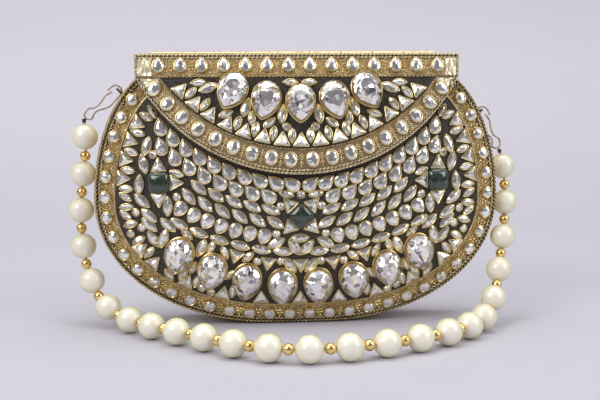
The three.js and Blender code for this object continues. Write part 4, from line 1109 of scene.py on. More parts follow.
STRAP_ROUTE = [
    (-107.2, 0, 103.9), (-106, 0, 93.8), (-108.4, 0, 74.6), (-109.6, 0, 56.2), (-108.8, -0.5, 38),
    (-104.6, -4.5, 21), (-95.8, -14.5, 9.4), (-84.4, -28.5, 6.6), (-73.4, -43.2, 6.6), (-60.6, -57.6, 6.6),
    (-47.6, -71.6, 6.6), (-34.4, -85.2, 6.6), (-18.6, -95.6, 6.6), (-0.8, -98.8, 6.6), (17.2, -95.6, 6.6),
    (35, -89.4, 6.6), (51.4, -81, 6.6), (66.4, -70.4, 6.6), (79, -57.2, 6.6), (89.4, -42, 7),
    (97.6, -28, 14.4), (102.8, -16.6, 27.6), (107, -8.4, 43.8), (109.2, -3, 61.4), (108.6, 0, 78.4),
    (106.5, 0, 86.5),
]


def drilled_bead(radius, bore, rows, sides):
    """Bead with a hollow at each end, where the thread goes in."""
    start = math.asin(bore / (2 * radius))
    angles = np.linspace(start, math.pi - start, rows)
    profile = [(-radius * math.cos(a), radius * math.sin(a)) for a in angles]
    reach, hollow = radius * math.cos(start) * 0.864, bore * 0.42
    return turned([(-reach, hollow), *profile, (reach, hollow)], sides)


def string_strap():
    """Pearls with a gold bead between each two and a crimp at each end, on their thread."""
    line, length = smooth_line(STRAP_ROUTE, 2001)

    def at(walked):
        place = min(max(walked / length, 0), 1) * (len(line) - 1)
        i = min(int(place), len(line) - 2)
        return line[i] + (line[i + 1] - line[i]) * (place - i)

    def strung(a, b, roll=0.0):
        turn = Vector((1, 0, 0)).rotation_difference(Vector(b - a))
        return (a + b) / 2, turn @ Matrix.Rotation(roll, 3, "X").to_quaternion()
    first = (length - (PEARLS - 1) * STRAP_PITCH) / 2
    crimp = CRIMP_DIAMETER * BEAD_REACH
    beads = [(crimp, CRIMP_DIAMETER)]
    beads += [(first + (i + 0.5) * STRAP_PITCH, SPACER_DIAMETER) for i in range(PEARLS - 1)]
    beads.append((length - crimp, CRIMP_DIAMETER))
    ends = [(at(s - size * BEAD_REACH), at(s + size * BEAD_REACH)) for s, size in beads]
    pearls = [strung(a[1], b[0], i * PEARL_ROLL) for i, (a, b) in enumerate(zip(ends, ends[1:]))]
    spacers = [strung(*pair) for pair in ends[1:-1]]
    crimps = [strung(*ends[0]), strung(*ends[-1])]
    pearl = drilled_bead(PEARL_DIAMETER / 2, PEARL_BORE, 17, 28)
    spacer = drilled_bead(SPACER_DIAMETER / 2, SPACER_BORE, 13, 20)
    cuff = turned([(-1, 0.8), (-0.9, 1), (0.9, 1), (1, 0.8)], 12)
    names = ["pearl_%02d" % (i + 1) for i in range(PEARLS)]
    for bead, shape, places, finish, slot, seed, nodes in (
        ("pearl", pearl, pearls, "pearl", "pearl_coat", 3, names),
        ("spacer", spacer, spacers, "spacer", "strap_gold", 4, ()),
        ("crimp", cuff, crimps, "dark", "dark_metal", 5, ()),
    ):
        name = "strap_%ss" % bead
        row = [(bead, *place) for place in places]
        mesh = laid(name, {bead: mesh_of(bead, shape, finish)}, row, finish, seed=seed)
        shown(name, mesh, "body", slot, *nodes)
    curve = bpy.data.curves.new("strap_thread_line", "CURVE")
    curve.dimensions = "3D"
    spline = curve.splines.new("POLY")
    knots = line[::10]
    spline.points.add(len(knots) - 1)
    for point, knot in zip(spline.points, knots):
        point.co = (*(knot * MM), 1)
    curve.bevel_depth = THREAD_DIAMETER / 2 * MM
    curve.bevel_resolution = 3
    curve.use_fill_caps = True
    curve.materials.append(PAINT["thread"])
    thread = shown("strap_thread_line", curve, "body", "strap_gold", "strap_thread")


# Stones and their settings

TALL_SETTINGS = ("border", "oval", "band_drop")


def stone_outline(kind):
    """Smooth outline of a stone with its bezel, long axis upwards, counter-clockwise."""
    length, width = STONE_SIZES[kind]
    t = np.arange(16) * 2 * math.pi / 16
    if kind == "triangle":
        corners = stone_corners(kind) * 1.05
        points = []
        for a, b, c in zip(np.roll(corners, 1, axis=0), corners, np.roll(corners, -1, axis=0)):
            points += [b + (a - b) * 0.07, b + (c - b) * 0.07, b + (c - b) * 0.36, b + (c - b) * 0.64]
        return np.array(points)
    if kind in ("slim", "marquise"):
        along = np.cos(t)
        across = -np.sign(np.sin(t)) * (1 - along**2) ** 0.75
        return np.column_stack([across * width * 0.53, along * length * 0.51])
    if kind.endswith("drop"):
        tip = 0.85 if kind == "drop" else 0.45
        across = -np.sin(t) * np.sin(t / 2) ** tip
        across /= abs(across).max()
        return np.column_stack([across * width * 0.51, (np.cos(t) + 0.08) * length * 0.52])
    return np.column_stack([-np.sin(t) * width * 0.52, np.cos(t) * length * 0.52])


def band_round(outline, section):
    """Standing band round an outline, from its section: (distance inwards, height)."""
    return loft([at_height(inset(outline, distance), height) for distance, height in section], closed=True)


def bezel_pattern(kind):
    """Thin standing band of gold round a stone."""
    high, wall = (1.75, 0.56) if kind in TALL_SETTINGS else (1.3, 0.5)
    section = [(0, -0.5), (0, high - 0.12), (wall * 0.5, high), (wall, high - 0.24)]
    return mesh_of("bezel_" + kind, band_round(stone_outline(kind), section), "gilt")


def stone_pattern(kind):
    """Rose-cut stone inside its bezel: a low crown and a table, or slanted facets that meet."""
    base, wall = (1.5, 0.44) if kind in TALL_SETTINGS else (1.05, 0.4)
    seat = inset(stone_outline(kind), wall)
    rings, rim_reflection_shares, crease = [upright(seat, 1, base)], (1, 0.35, 0), 32
    if kind == "triangle":
        rings += [upright(seat, 0.6, base + 0.4), upright(seat, 0.14, base + 0.95)]
        rim_reflection_shares, crease = (1, 0.3, 0), 14
    elif kind in ("slim", "marquise"):
        rings.append(upright(seat, 1, base + 0.72) * [0.26, 0.66, 1])
        rim_reflection_shares = (1, 0)
    else:
        rings += [upright(seat, 0.82, base + 0.34), upright(seat, 0.58, base + 0.62)]
    mesh = mesh_of("stone_" + kind, loft(rings), "glass", crease)
    # Painted reflection of the bezel: each ring's share of the gold rim's colour, strongest at the seat.
    rim_reflection_share = np.repeat(rim_reflection_shares, len(seat)).astype(float)
    mesh.attributes.new("rim", "FLOAT", "POINT").data.foreach_set("value", rim_reflection_share)
    return mesh


def set_stones(name, stones, forward, body, seed):
    """Bezels and stones on the dome, as two pieces."""
    kinds = sorted({stone[0] for stone in stones})
    for part, pattern, finish, slot, crease in (
        ("bezel", bezel_pattern, "gilt", "gilt_setting", 38),
        ("stone", stone_pattern, "glass", "clear_crystal", 28),
    ):
        patterns = {part + "_" + kind: pattern(kind) for kind in kinds}
        places = [(part + "_" + kind, *place) for kind, *place in stones]
        whole = "%s_%ss" % (name, part)
        on_panel(
            whole, patterns, places, forward, finish, body, slot, tremor=2.6, seed=seed, crease=crease,
        )


def collet_pattern():
    """Deep gold cup of a crystal: a wall with a bead along its lip and another round its foot."""
    wall = [
        (0, -0.8), (0, 0.3), (-0.25, 0.55), (-0.25, 0.95), (0.12, 1.2), (0.12, 3.2), (-0.1, 3.45),
        (-0.1, 3.9), (0.05, COLLET_RISE), (0.3, COLLET_RISE + 0.05), (0.5, COLLET_RISE - 0.35),
        (COLLET_WALL, -0.8),
    ]
    return mesh_of("collet", band_round(pear(CRYSTAL_LENGTH, CRYSTAL_WIDTH, 28, 0.2), wall), "gilt")


def crystal_pattern():
    """Pear-shaped crystal: an eight-sided table, star, kite and girdle facets over a short girdle."""
    girdle = inset(pear(CRYSTAL_LENGTH, CRYSTAL_WIDTH, 16, 0.2), 0.45)
    eight = girdle[::2]
    half_way = (eight + np.roll(eight, -1, axis=0)) / 2
    points = np.vstack([
        upright(girdle, 0.8, COLLET_RISE - 2.2), upright(girdle, 1, COLLET_RISE - 0.1),
        upright(half_way, 0.8, COLLET_RISE + CRYSTAL_RISE * 0.62),
        upright(eight, 0.56, COLLET_RISE + CRYSTAL_RISE),
    ])
    faces = [tuple(range(16))[::-1]]
    faces += [(i, (i + 1) % 16, 16 + (i + 1) % 16, 16 + i) for i in range(16)]
    for i in range(8):
        middle, after = 32 + i, 32 + (i + 1) % 8
        table, following = 40 + i, 40 + (i + 1) % 8
        a, b, c = 16 + 2 * i, 16 + (2 * i + 1) % 16, 16 + (2 * i + 2) % 16
        faces += [(a, b, middle), (b, c, middle), (table, middle, following), (c, after, following, middle)]
    faces.append(tuple(range(40, 48)))
    return mesh_of("crystal", (points, faces), "crystal", 4)


def set_crystals(name, places, forward, body):
    """Large crystals in their cups on the dome, as two pieces."""
    nodes = ["%s_crystal_%d" % (name, i + 1) for i in range(len(places))]
    for part, pattern, finish, slot, stands_for, crease in (
        ("collet", collet_pattern(), "gilt", "gilt_setting", (), 34),
        ("crystal", crystal_pattern(), "crystal", "clear_crystal", nodes, 4),
    ):
        whole = "%s_%ss" % (name, part)
        row = [(part, *place) for place in places]
        on_panel(
            whole, {part: pattern}, row, forward, finish, body, slot, stands_for,
            tremor=1.5, seed=7, crease=crease,
        )


def green_pattern():
    """Cushion-shaped green stone with a high round crown."""
    t = (np.arange(24) + 0.5) * 2 * math.pi / 24
    across, along = np.cos(t), np.sin(t)
    rings = []
    for scale, height, corner in (
        (1, 0.1, 9), (1, 1.5, 9), (0.93, 2.5, 6), (0.74, 3.5, 3.5), (0.45, 4.05, 2.4), (0.16, GREEN_TOP, 2),
    ):
        reach = GREEN_SIDE / 2 * scale / (abs(across) ** corner + abs(along) ** corner) ** (1 / corner)
        rings.append(at_height(np.column_stack([across * reach, along * reach]), height))
    return mesh_of("green_stone", loft(rings), "green", 60)


def granule(x, y, z, radius):
    """One granule, six-sided and drawn in at both ends."""
    section = ((-0.9, 0.45), (-0.35, 0.95), (0.4, 0.92), (0.9, 0.42))
    points, faces = loft([at_height(circle(6, size), height) for height, size in section])
    return points * radius + [x, y, z], faces


def scroll_pattern():
    """Filigree between two border stones: three small wire rings with granules round them."""
    parts = []
    wire = circle(4) * [0.24, 0.3]
    for x, y, radius in ((-0.95, 0.9, 0.85), (0.95, 0.9, 0.85), (0, -0.95, 0.95)):
        rings = [
            [(x + c * (radius + wide), y + s * (radius + wide), 0.34 + high) for wide, high in wire]
            for c, s in circle(11)
        ]
        parts.append(loft(rings, closed=True))
    for x, y, radius in (
        (0, 0.25, 0.36), (0, 2.2, 0.34), (-1.3, -0.7, 0.33), (1.3, -0.7, 0.33), (-0.9, 0.9, 0.3),
        (0.9, 0.9, 0.3), (0, -0.95, 0.36), (0, -2.3, 0.3),
    ):
        parts.append(granule(x, y, 0.3, radius))
    return mesh_of("scroll", gathered(parts), "gilt")


def column_pattern():
    """Upright row of granules between two ovals, with a pair beside every other one."""
    middle = ((-3.3, 0.42), (-2.3, 0.5), (-1.1, 0.6), (0.2, 0.5), (1.4, 0.6), (2.6, 0.5))
    parts = [granule(0, y, 0.4, radius) for y, radius in middle]
    parts += [granule(x, y, 0.35, 0.4) for y in (-1.7, 0.8, 2.0) for x in (-0.95, 0.95)]
    return mesh_of("column", gathered(parts), "bright")


# Front and back panels

def domed_shell(loop, back, front, steps=14):
    """Closed domed sheet inside a loop, between two distances forward."""
    centre = np.array([0, DOME_CENTRE])
    shares = np.linspace(0.04, 1, steps)
    rings = [on_dome(centre + (loop - centre) * s, back) for s in shares]
    rings += [on_dome(centre + (loop - centre) * s, front) for s in shares[::-1]]
    return loft(rings)


def edge_line(distance, forward):
    """Line on the dome, a distance inside the panel's outline."""
    return on_dome(stepped(inset(WHOLE_OUTLINE, distance), ROPE_STEP), forward)


def border_strip(near, far, forward):
    """Grid over a band along the panel's outline, between two distances inwards."""
    loops = [inset(WHOLE_OUTLINE, distance) for distance in np.linspace(near, far, 4)]
    grid = np.array([on_dome(stepped(loop, SHEET_STEP, WHOLE_OUTLINE), forward) for loop in loops])
    return np.concatenate([grid, grid[:, :1]], axis=1)


def make_panel():
    """Stamped sheet with a bed of lac, ropes round its edge, a granulated border and its stones."""
    shell = domed_shell(stepped(inset(WHOLE_OUTLINE, RIM_INSET), SHEET_STEP), 0, PANEL_SHEET)
    piece("panel_sheet", shell, "stamped", "body", "gilt_setting", "front_panel")
    ground = stepped(inset(WHOLE_OUTLINE, PANEL_BORDER), SHEET_STEP)
    lac = domed_shell(ground, PANEL_SHEET - 0.3, PANEL_SHEET + LAC_RISE)
    piece("panel_lac", lac, "lac", "body", "dark_metal")
    for name, distance, lay, finish in (
        ("panel_rope_outer", RIM_INSET + 0.7, -4.0, "dark_rope"),
        ("panel_rope_inner", RIM_INSET + 2.35, 4.0, "rope"),
    ):
        twisted(name, edge_line(distance, PANEL_SHEET + ROPE_LIFT), finish, 1.8, "body", lay=lay, closed=True)
    wire = edge_line(PANEL_BORDER - 0.35, PANEL_SHEET + 0.2)
    twisted("panel_closing_wire", wire, "gilt", 0.9, "body", groove=0.0, closed=True, step=0.8)
    strip = border_strip(EDGE_ROPE + RIM_INSET + 0.6, PANEL_BORDER - 0.8, PANEL_SHEET + GRANULE_LIFT)
    shown("panel_granules", grains("panel_granules", strip, 0.85, 0.42, 11), "body", "gilt_setting")
    stops = [s for s in along_left(BORDER_LINE, 0, BORDER_PITCH) if not under_flap(s[0], s[1])]
    stops += [(-x, z, -turn) for x, z, turn in stops[1:]]
    scrolls = [("scroll", *stop) for stop in stops]
    on_panel(
        "panel_scrolls", {"scroll": scroll_pattern()}, scrolls, PANEL_SHEET, "gilt", "body", "gilt_setting",
        tremor=4, seed=12, crease=60,
    )
    set_stones("panel", lay_panel() + lay_panel_border(), PANEL_SHEET, "body", 21)
    set_crystals("panel", PANEL_CRYSTALS, PANEL_SHEET, "body")
    greens = [("green_stone", *place) for place in GREENS]
    nodes = ["green_stone_" + side for side in ("left", "centre", "right")]
    on_panel(
        "green_stones", {"green_stone": green_pattern()}, greens, PANEL_SHEET, "green", "body",
        "green_crystal", nodes, crease=60,
    )


def make_back():
    """Plain domed sheet with the same two ropes round its edge."""
    points, faces = domed_shell(stepped(inset(WHOLE_OUTLINE, RIM_INSET), SHEET_STEP), 0, PANEL_SHEET)
    piece("back_sheet", (points * [1, -1, 1], faces), "brass", "body", "brass_sheet", "back_panel")
    for name, distance, finish in (("back_rope_outer", 0.62, "dark_rope"), ("back_rope_inner", 2.1, "rope")):
        line = edge_line(RIM_INSET + distance, PANEL_SHEET + ROPE_LIFT) * [1, -1, 1]
        twisted(name, line, finish, 1.5, "body", closed=True)


def at_depth(outline, y):
    """An outline (x, z) stood up at a depth."""
    return np.column_stack([outline[:, 0], np.full(len(outline), y), outline[:, 1]])


def bent_strip(outer, inner, top, depth):
    """Strip bent round the sides and the foot, open at the mouth."""
    loop = stepped(bag_outline(top, SMOOTH), SHEET_STEP)
    count = int(np.flatnonzero(np.isclose(loop[:, 0], NECK) & np.isclose(loop[:, 1], top))[0]) + 1
    walls = [inset(loop, distance)[:count] for distance in (outer, inner)]
    for wall in walls:
        wall[[0, -1], 1] = top
    rows = (-1, -0.9, -0.3, 0.3, 0.9, 1)
    return sheet_between(*[np.array([at_depth(wall, row * depth / 2) for row in rows]) for wall in walls])


def make_gusset():
    """Plain strip that joins both panels, and the seams of solder along it."""
    strip = bent_strip(0, GUSSET_WALL, MOUTH, GUSSET_DEPTH)
    piece("gusset_strip", strip, "brass", "body", "brass_sheet", "gusset")
    # A dark seam of solder runs where each panel sits on the strip.
    line = inset(stepped(WHOLE_OUTLINE, 2), 0.4)
    for name, side in (("seam_front", -1), ("seam_back", 1)):
        seam = at_depth(line, side * (RIM_PLANE - 0.15))
        twisted(name, seam, "copper", 0.7, "body", "copper_wire", groove=0.0, closed=True, step=1.2)


# Flap

def flap_grid(forward, radius, centre, end, top, columns=96, rows=22):
    """Grid on the dome between an arc and a level line above it, closer towards both ends."""
    bend = math.pi / 2 * 0.96
    x = np.sin(np.linspace(-1, 1, columns) * bend) / math.sin(bend) * end
    low = centre - np.sqrt(np.maximum(radius**2 - x**2, 0))
    shares = np.linspace(0, 1, rows)
    return np.array([on_dome(np.column_stack([x, low + (top - low) * share]), forward) for share in shares])


def arc_line(radius, centre, end, forward, steps=260):
    swing = math.asin(end / radius)
    return on_dome(np.column_stack(on_arc(radius, centre, np.linspace(-swing, swing, steps))), forward)


def border_grid(distances, share, forward, steps):
    """Grid over the flap's border at distances from its edge, over a share of its width."""
    radii = [FLAP_RADIUS - distance for distance in distances]
    return np.array([arc_line(r, ARC_CENTRE, r * NECK / FLAP_RADIUS * share, forward, steps) for r in radii])


def level_line(height, margin, forward, steps=160):
    """Level line across the flap, a margin short of its ends."""
    x = np.linspace(-NECK + margin, NECK - margin, steps)
    return on_dome(np.column_stack([x, np.full(steps, height)]), forward)


def flap_edge(shrink, forward):
    """Line round the whole flap, a distance inside its edge."""
    radius, end, top = FLAP_RADIUS - shrink, NECK - shrink, BAG_HEIGHT - shrink
    swing = math.asin(end / radius)
    arc = np.column_stack(on_arc(radius, ARC_CENTRE, np.linspace(-swing, swing, 220)))
    return on_dome(stepped(np.vstack([arc, [[end, top], [-end, top]]]), ROPE_STEP), forward)


def crumpled_foil(low, high, forward, seed):
    """Small patch of creased plain foil between two corners."""
    rng = np.random.default_rng(seed)
    columns, rows = 9, 7
    x, z = np.meshgrid(np.linspace(low[0], high[0], columns), np.linspace(low[1], high[1], rows))
    flat = np.column_stack([x.ravel(), z.ravel()]) + rng.normal(0, 0.18, (columns * rows, 2))
    points = on_dome(flat, forward).reshape(rows, columns, 3)
    points[..., 1] -= rng.random((rows, columns)) * 0.55
    return sheet_between(points, points + [0, 0.7, 0])


def make_flap():
    """Half-moon lid with its return over the top, its ropes, border, band and stones."""
    whole = FLAP_RADIUS, ARC_CENTRE, NECK, BAG_HEIGHT
    sheet = sheet_between(flap_grid(FLAP_FRONT, *whole), flap_grid(FLAP_BACK, *whole))
    piece("flap_sheet", sheet, "stamped", "flap", "gilt_setting", "flap")
    top = block((-NECK, -(RIM_PLANE + FLAP_FRONT) + 0.05, RETURN_BOTTOM), (NECK, FLAP_REAR, BAG_HEIGHT))
    shown("flap_return", softened(mesh_of("flap_return", top, "brass"), 0.45), "flap", "brass_sheet")
    inner = INNER_RADIUS, INNER_CENTRE, INNER_END, BAND_BOTTOM, 72, 14
    lac = sheet_between(*[flap_grid(FLAP_FRONT + rise, *inner) for rise in (LAC_RISE, -0.2)])
    piece("flap_lac", lac, "lac", "flap", "dark_metal")
    lift, low_lift = FLAP_FRONT + 0.4, FLAP_FRONT + 0.3
    inner_rope = arc_line(INNER_RADIUS + 0.5, INNER_CENTRE, INNER_END + 0.6, FLAP_FRONT + 0.25)
    for name, line, finish, size, closed in (
        ("flap_rope_edge", flap_edge(0.7, lift), "rope", 1.4, True),
        ("flap_rope_second", arc_line(FLAP_RADIUS - 2.05, ARC_CENTRE, NECK - 2.4, lift), "rope", 1.3, False),
        ("flap_rope_inner", inner_rope, "dark_rope", 1.1, False),
        ("band_rope_low", level_line(BAND_BOTTOM + 0.2, 1, low_lift), "dark_rope", 1.1, False),
        ("band_rope_top", level_line(BAG_HEIGHT - 2.1, 1, low_lift), "rope", 1.2, False),
    ):
        twisted(name, line, finish, size, "flap", closed=closed)
    strip = border_grid((2.9, 5.6, 8.2, 10.6), 0.985, FLAP_FRONT + GRANULE_LIFT, 90)
    halves = ((strip[:, :26], 31), (strip[:, -26:], 34))
    ends = [grains("border_end", part, 1.0, 0.38, seed) for part, seed in halves]
    shown("flap_border_granules", merged("flap_border_granules", *ends), "flap", "gilt_setting")
    distances = np.linspace(2.4, 11.6, 7)
    ground = sheet_between(*[border_grid(distances, 0.98, FLAP_FRONT + rise, 120) for rise in (0.1, -0.2)])
    piece("flap_border_ground", ground, "brown", "flap", "gilt_setting")
    rises = (1.1, 3.9, 6.7, 8.7)
    strip = np.array([level_line(BAND_BOTTOM + rise, 1.6, FLAP_FRONT + GRANULE_LIFT, 90) for rise in rises])
    shown("band_granules", grains("band_granules", strip, 0.8, 0.42, 32), "flap", "gilt_setting")
    columns = []
    for i in range(OVALS_PER_SIDE):
        swing = (i + 0.07) * OVAL_PITCH / FLAP_RADIUS
        x, z = on_arc(oval_radius(i), ARC_CENTRE, swing)
        middle = [("column", 0, ARC_CENTRE - oval_radius(i), 0)]
        columns += [("column", x, z, swing), ("column", -x, z, -swing)] if i else middle
    on_panel(
        "flap_granule_columns", {"column": column_pattern()}, columns, FLAP_FRONT, "bright", "flap",
        "gilt_setting", tremor=5, seed=33, crease=60,
    )
    # Patches of foil at both ends of the band and under them
    for seed, (name, left, right, low, high) in enumerate((
        ("band_foil_left", 1.1 - NECK, 8.1 - NECK, 0.7, 9.3),
        ("band_foil_right", NECK - 7.5, NECK - 1.1, 0.7, 9.3),
        ("corner_foil_left", 3 - NECK, 11.5 - NECK, -5, -0.9),
        ("corner_foil_right", NECK - 11.5, NECK - 3, -5, -0.9),
    ), 1):
        corners = (left, BAND_BOTTOM + low), (right, BAND_BOTTOM + high)
        patch = crumpled_foil(*corners, FLAP_FRONT + 0.15, seed)
        piece(name, patch, "foil", "flap", "gilt_setting", crease=8)
    set_stones("flap", lay_flap() + lay_flap_borders(), FLAP_FRONT, "flap", 22)
    set_crystals("flap", FLAP_CRYSTALS, FLAP_FRONT, "flap")


# Hinge, magnets, linings, lugs and hooks

def make_hinge():
    """Knuckles turn about on the body's leaf and the flap's, on one rod."""
    step, far, chamfer = HINGE_LENGTH / KNUCKLES, HINGE_LENGTH / 2, 0.18
    leaf_front, leaf_rear = HINGE_Y - KNUCKLE_RADIUS, HINGE_Y - 0.6
    leaf_top = RETURN_BOTTOM - SEAT_GAP
    leaf_low = leaf_top - LEAF_SHEET
    body_top = leaf_low - SEAT_GAP
    body_parts, flap_parts = [], []
    outer, bore = KNUCKLE_RADIUS, PIN_RADIUS + PIN_CLEARANCE
    for i in range(KNUCKLES):
        start = -far + i * step + KNUCKLE_GAP / 2
        end = start + step - KNUCKLE_GAP
        profile = [
            (start + chamfer, outer), (end - chamfer, outer), (end, outer - chamfer), (end, bore),
            (start, bore), (start, outer - chamfer),
        ]
        knuckle = turned(profile, 24, HINGE_Y, HINGE_Z, closed=True)
        if i % 2 == 0:
            leg = block((start, leaf_front, HINGE_Z - 5), (end, leaf_front + LEAF_SHEET, HINGE_Z - 0.4))
            body_parts += [knuckle, leg]
        else:
            flap_parts += [
                knuckle,
                block((start, FLAP_REAR - 1, leaf_low), (end, leaf_rear, leaf_top)),
                block((start, leaf_rear - 0.7, leaf_low), (end, leaf_rear, HINGE_Z - 1.2)),
            ]
    leaf_back = leaf_front + LEAF_SHEET
    body_parts.append(block((-far, leaf_front, body_top - BODY_LEAF_WIDTH), (far, leaf_back, body_top)))
    flap_parts.append(block((-far, FLAP_REAR - FLAP_LEAF_WIDTH, leaf_low), (far, FLAP_REAR - 0.4, leaf_top)))
    for body, parts in (("body", body_parts), ("flap", flap_parts)):
        name = "hinge_%s_knuckles" % body
        piece(name, gathered(parts), "hinge", body, "brass_sheet", "hinge_%s_leaf" % body)
    reach = far + 0.6
    rod = [(-reach, 0.5), (-reach + 0.3, PIN_RADIUS), (reach - 0.3, PIN_RADIUS), (reach, 0.5)]
    piece("hinge_rod", turned(rod, 20, HINGE_Y, HINGE_Z), "dark", "body", "dark_metal", "hinge_pin")
    # Flat rivet heads hold the body's leaf to the gusset's rim.
    facing = Matrix.Rotation(math.radians(90), 3, "X").to_quaternion()
    low = body_top - BODY_LEAF_WIDTH * 0.55
    heads = [("rivet", (-far + (i + 0.5) * step, leaf_front - 0.05, low), facing) for i in range(KNUCKLES)]
    head = loft([upright(circle(20, 1.3), s, h) for s, h in ((1, -0.2), (1, 0.15), (0.7, 0.4), (0.2, 0.5))])
    rivets = laid("hinge_rivets", {"rivet": mesh_of("rivet", head, "dark")}, heads, "dark", 2, 41)
    shown("hinge_rivets", rivets, "body", "dark_metal")


def set_magnet(name, low, body, node):
    """Round magnet plate, from a height over the panel upwards."""
    (point,), (turn,) = stances([(0, FLAP_BOTTOM + MAGNET_RISE, 0)], PANEL_SHEET)
    high = low + MAGNET_THICKNESS
    section = ((0.95, low), (1, low + 0.2), (1, high - 0.2), (0.95, high), (0.3, high - 0.02))
    points, faces = loft([upright(circle(40, MAGNET_RADIUS), scale, height) for scale, height in section])
    points = np.array([turn @ Vector(p) for p in points]) + point
    piece(name, (points, faces), "magnet", body, "magnet_plate", node)


def make_linings():
    """Velvet glued inside both panels, the gusset and the flap."""
    cloth_inset = GUSSET_WALL + 2 * SEAT_GAP + LINING_CLOTH
    top = MOUTH - SEAT_GAP
    loop = inset(stepped(bag_outline(top, SMOOTH), SHEET_STEP), cloth_inset)
    points, faces = domed_shell(loop, -2 * SEAT_GAP - LINING_CLOTH, -2 * SEAT_GAP, 12)
    for name, node, side, wall in (
        ("front_velvet", "front_lining", 1, "panel_sheet"), ("back_velvet", "back_lining", -1, "back_sheet"),
    ):
        cloth = piece(name, (points * [1, side, 1], faces), "velvet", "body", "velvet", node)
    side, width = GUSSET_WALL + SEAT_GAP, GUSSET_DEPTH - 2 * SEAT_GAP
    strip = bent_strip(side, side + LINING_CLOTH, top, width)
    cloth = piece("gusset_velvet", strip, "velvet", "body", "velvet", "gusset_lining")
    cloth_back = FLAP_BACK - SEAT_GAP - LINING_CLOTH
    shape = FLAP_RADIUS - LINING_INSET, ARC_CENTRE, NECK - LINING_INSET, RETURN_BOTTOM - 2 * SEAT_GAP, 96, 40
    grids = [flap_grid(forward, *shape) for forward in (cloth_back + LINING_CLOTH, cloth_back)]
    height, reach = (FLAP_BOTTOM + MAGNET_RISE) * MM, (MAGNET_RADIUS + SEAT_GAP) * MM

    def cut_out(build):
        """Hole for the flap's magnet."""
        middles = [(face, face.calc_center_median()) for face in build.faces]
        hidden = [face for face, middle in middles if math.hypot(middle.x, middle.z - height) < reach]
        bmesh.ops.delete(build, geom=hidden, context="FACES")
        bmesh.ops.bridge_loops(build, edges=[edge for edge in build.edges if edge.is_boundary])
    cloth = rebuilt(mesh_of("flap_velvet", sheet_between(*grids), "velvet"), cut_out)
    shown("flap_velvet", cloth, "flap", "velvet", "flap_lining")


HOOK_SHAPE = [
    (4, 2.7), (1.3, 2.8), (-0.6, 2.2), (-1.7, -0.3), (-0.7, -2.2), (4, -3.2), (8.6, -3.6), (11.6, -2.5),
    (14.7, -1.4), (16.6, -1.7), (18.9, -2.7), (20.4, -1.5), (20.7, 0), (20, 1.1), (16.8, 2), (14.3, 0.5),
    (10.8, 0.4), (5.9, 1.5), (2.7, 0.8),
]


def side_point(height):
    """Point and outward direction on the left side of the gusset at a height."""
    side = left_side(MOUTH)
    i = next(k for k in range(1, len(side)) if side[k][1] <= height)
    step = side[i] - side[i - 1]
    at = side[i - 1] + step * ((height - side[i - 1][1]) / step[1])
    step /= np.linalg.norm(step)
    return at, np.array([step[1], -step[0]])


def make_fastening(name, height, lean, side):
    """Lug on one side of the gusset, and the wire hook of the strap that hangs in it. Gives back the hook."""
    at, out = side_point(height)
    leg, bend = LUG_SPREAD / 2, 1.4
    staple = [
        (SEAT_GAP, -leg), (LUG_REACH - bend, -leg), (LUG_REACH, bend - leg), (LUG_REACH, leg - bend),
        (LUG_REACH - bend, leg), (SEAT_GAP, leg),
    ]
    line = [((at + out * reach)[0], y, (at + out * reach)[1]) for reach, y in staple]
    points, faces = tube(smooth_line(line, 40)[0], LUG_WIRE, 12, 0.9)
    piece("staple_" + name, (points * [side, 1, 1], faces), "dark", "body", "dark_metal", "lug_" + name)
    swing = math.radians(lean)
    pull = np.array([-math.sin(swing), -math.cos(swing)])
    across = np.array([pull[1], -pull[0]])
    path = [at + out * LUG_REACH + (pull * a + across * b) * HOOK_REACH / 20.7 for a, b in HOOK_SHAPE]
    points, faces = tube(smooth_line([(x, 0, z) for x, z in path], 130)[0], HOOK_WIRE, 10, 0.6)
    points = points * [side, 1, 1]
    return piece("wire_hook_" + name, (points, faces), "copper", "body", "copper_wire", "hook_" + name)


# Floor, backdrop and lamps

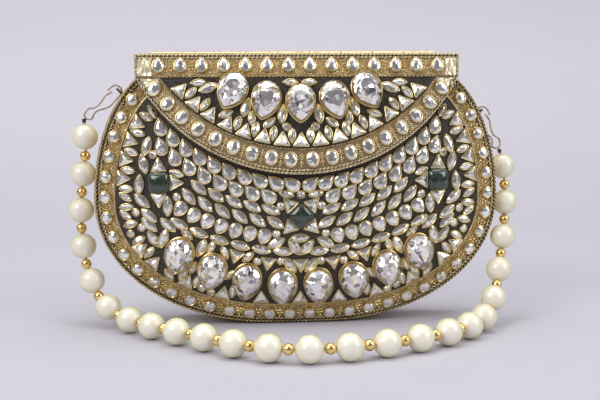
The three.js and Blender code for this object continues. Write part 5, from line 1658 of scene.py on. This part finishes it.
def set_stage():
    """Pale seamless paper that rises behind the bag, its colour painted from near black in front to pale
    behind: painted shade where it runs out of the light in front, painted light behind.
    """
    paper = Finish("backdrop_paper", (0.66, 0.65, 0.72), 0.0, 0.75)
    depth = paper.put("ShaderNodeSeparateXYZ", {0: paper.own}).outputs["Y"]
    # Painted shade and light: the paper's colour runs from near black in front of the bag to pale behind it,
    # set by depth alone.
    near = paper.sums("DIVIDE", paper.sums("ADD", depth, 1.0), 3.0)
    painted_falloff = paper.ramp(
        near, (0.14, (0.17, 0.165, 0.18)), (0.25, (0.53, 0.52, 0.58)), (0.45, (0.58, 0.57, 0.635)),
        (0.8, (0.95, 0.93, 1.0)),
    )
    grain = paper.ramp(paper.noise(60, 4), (0.3, 0.985), (0.7, 1.0))
    paper.drive("Base Color", paper.mixed(1.0, painted_falloff, grain, "MULTIPLY"))
    profile = [(-3000, 0), (-900, 0), (-300, 0), (300, 0)]
    profile += [(900 + 900 * math.sin(a), 900 * (1 - math.cos(a))) for a in np.linspace(0, math.pi / 2, 14)]
    profile.append((1800, 3200))
    grid = np.array([[(x, y, z) for x in (-3500, 3500)] for y, z in profile], float)
    faces = [(2 * i, 2 * i + 1, 2 * i + 3, 2 * i + 2) for i in range(len(profile) - 1)]
    mesh = raw_mesh("backdrop", grid.reshape(-1, 3), (), faces)
    mesh.materials.append(paper.material)
    mesh.shade_smooth()
    in_scene("backdrop", mesh)


def softbox(name, place, aim, size, power, colour=(1, 1, 1)):
    lamp = bpy.data.lights.new(name, "AREA")
    lamp.shape = "RECTANGLE"
    lamp.size, lamp.size_y = size
    lamp.energy = power
    lamp.color = colour
    box = in_scene(name, lamp)
    box.location = place
    box.rotation_euler = (Vector(aim) - Vector(place)).to_track_quat("-Z", "Y").to_euler()


def light_stage():
    """Three soft lamps in a room that is dark in front of the bag and bright above and behind it."""
    scene = bpy.context.scene
    scene.view_settings.view_transform = "Standard"
    world = bpy.data.worlds.new("room")
    scene.world = world
    world.use_nodes = True
    tree = world.node_tree
    way = put(tree, "ShaderNodeTexCoord").outputs["Generated"]
    along = put(tree, "ShaderNodeVectorMath", {0: way, 1: (0, 0.5, 0.87)}, operation="DOT_PRODUCT")
    shades = ((0.0, (0.19, 0.185, 0.2)), (0.2, (0.3, 0.29, 0.31)), (0.75, 1.0))
    sky = ramp_node(tree, along.outputs["Value"], shades)
    background = tree.nodes["Background"]
    tree.links.new(sky, background.inputs["Color"])
    background.inputs["Strength"].default_value = 1.1
    softbox("window_left", (-0.85, -0.75, 0.75), (0, 0, 0.06), (0.7, 0.7), 7.0, (1, 0.99, 0.97))
    softbox("window_right", (0.95, -0.6, 0.6), (0, 0, 0.06), (0.5, 0.8), 4.4, (0.98, 0.98, 1))
    softbox("ceiling_panel", (0, 0.1, 1.25), (0, 0, 0), (1.1, 0.8), 4.6)


aim_camera()
hooks = [make_fastening("left", LEFT_LUG, LEFT_LEAN, 1), make_fastening("right", RIGHT_LUG, RIGHT_LEAN, -1)]
string_strap()
make_panel()
make_flap()
make_back()
make_gusset()
make_hinge()
set_magnet("panel_magnet_disc", SEAT_GAP, "body", "panel_magnet")
set_magnet("flap_magnet_disc", 2 * SEAT_GAP + MAGNET_THICKNESS, "flap", "flap_magnet")
make_linings()
set_stage()
light_stage()
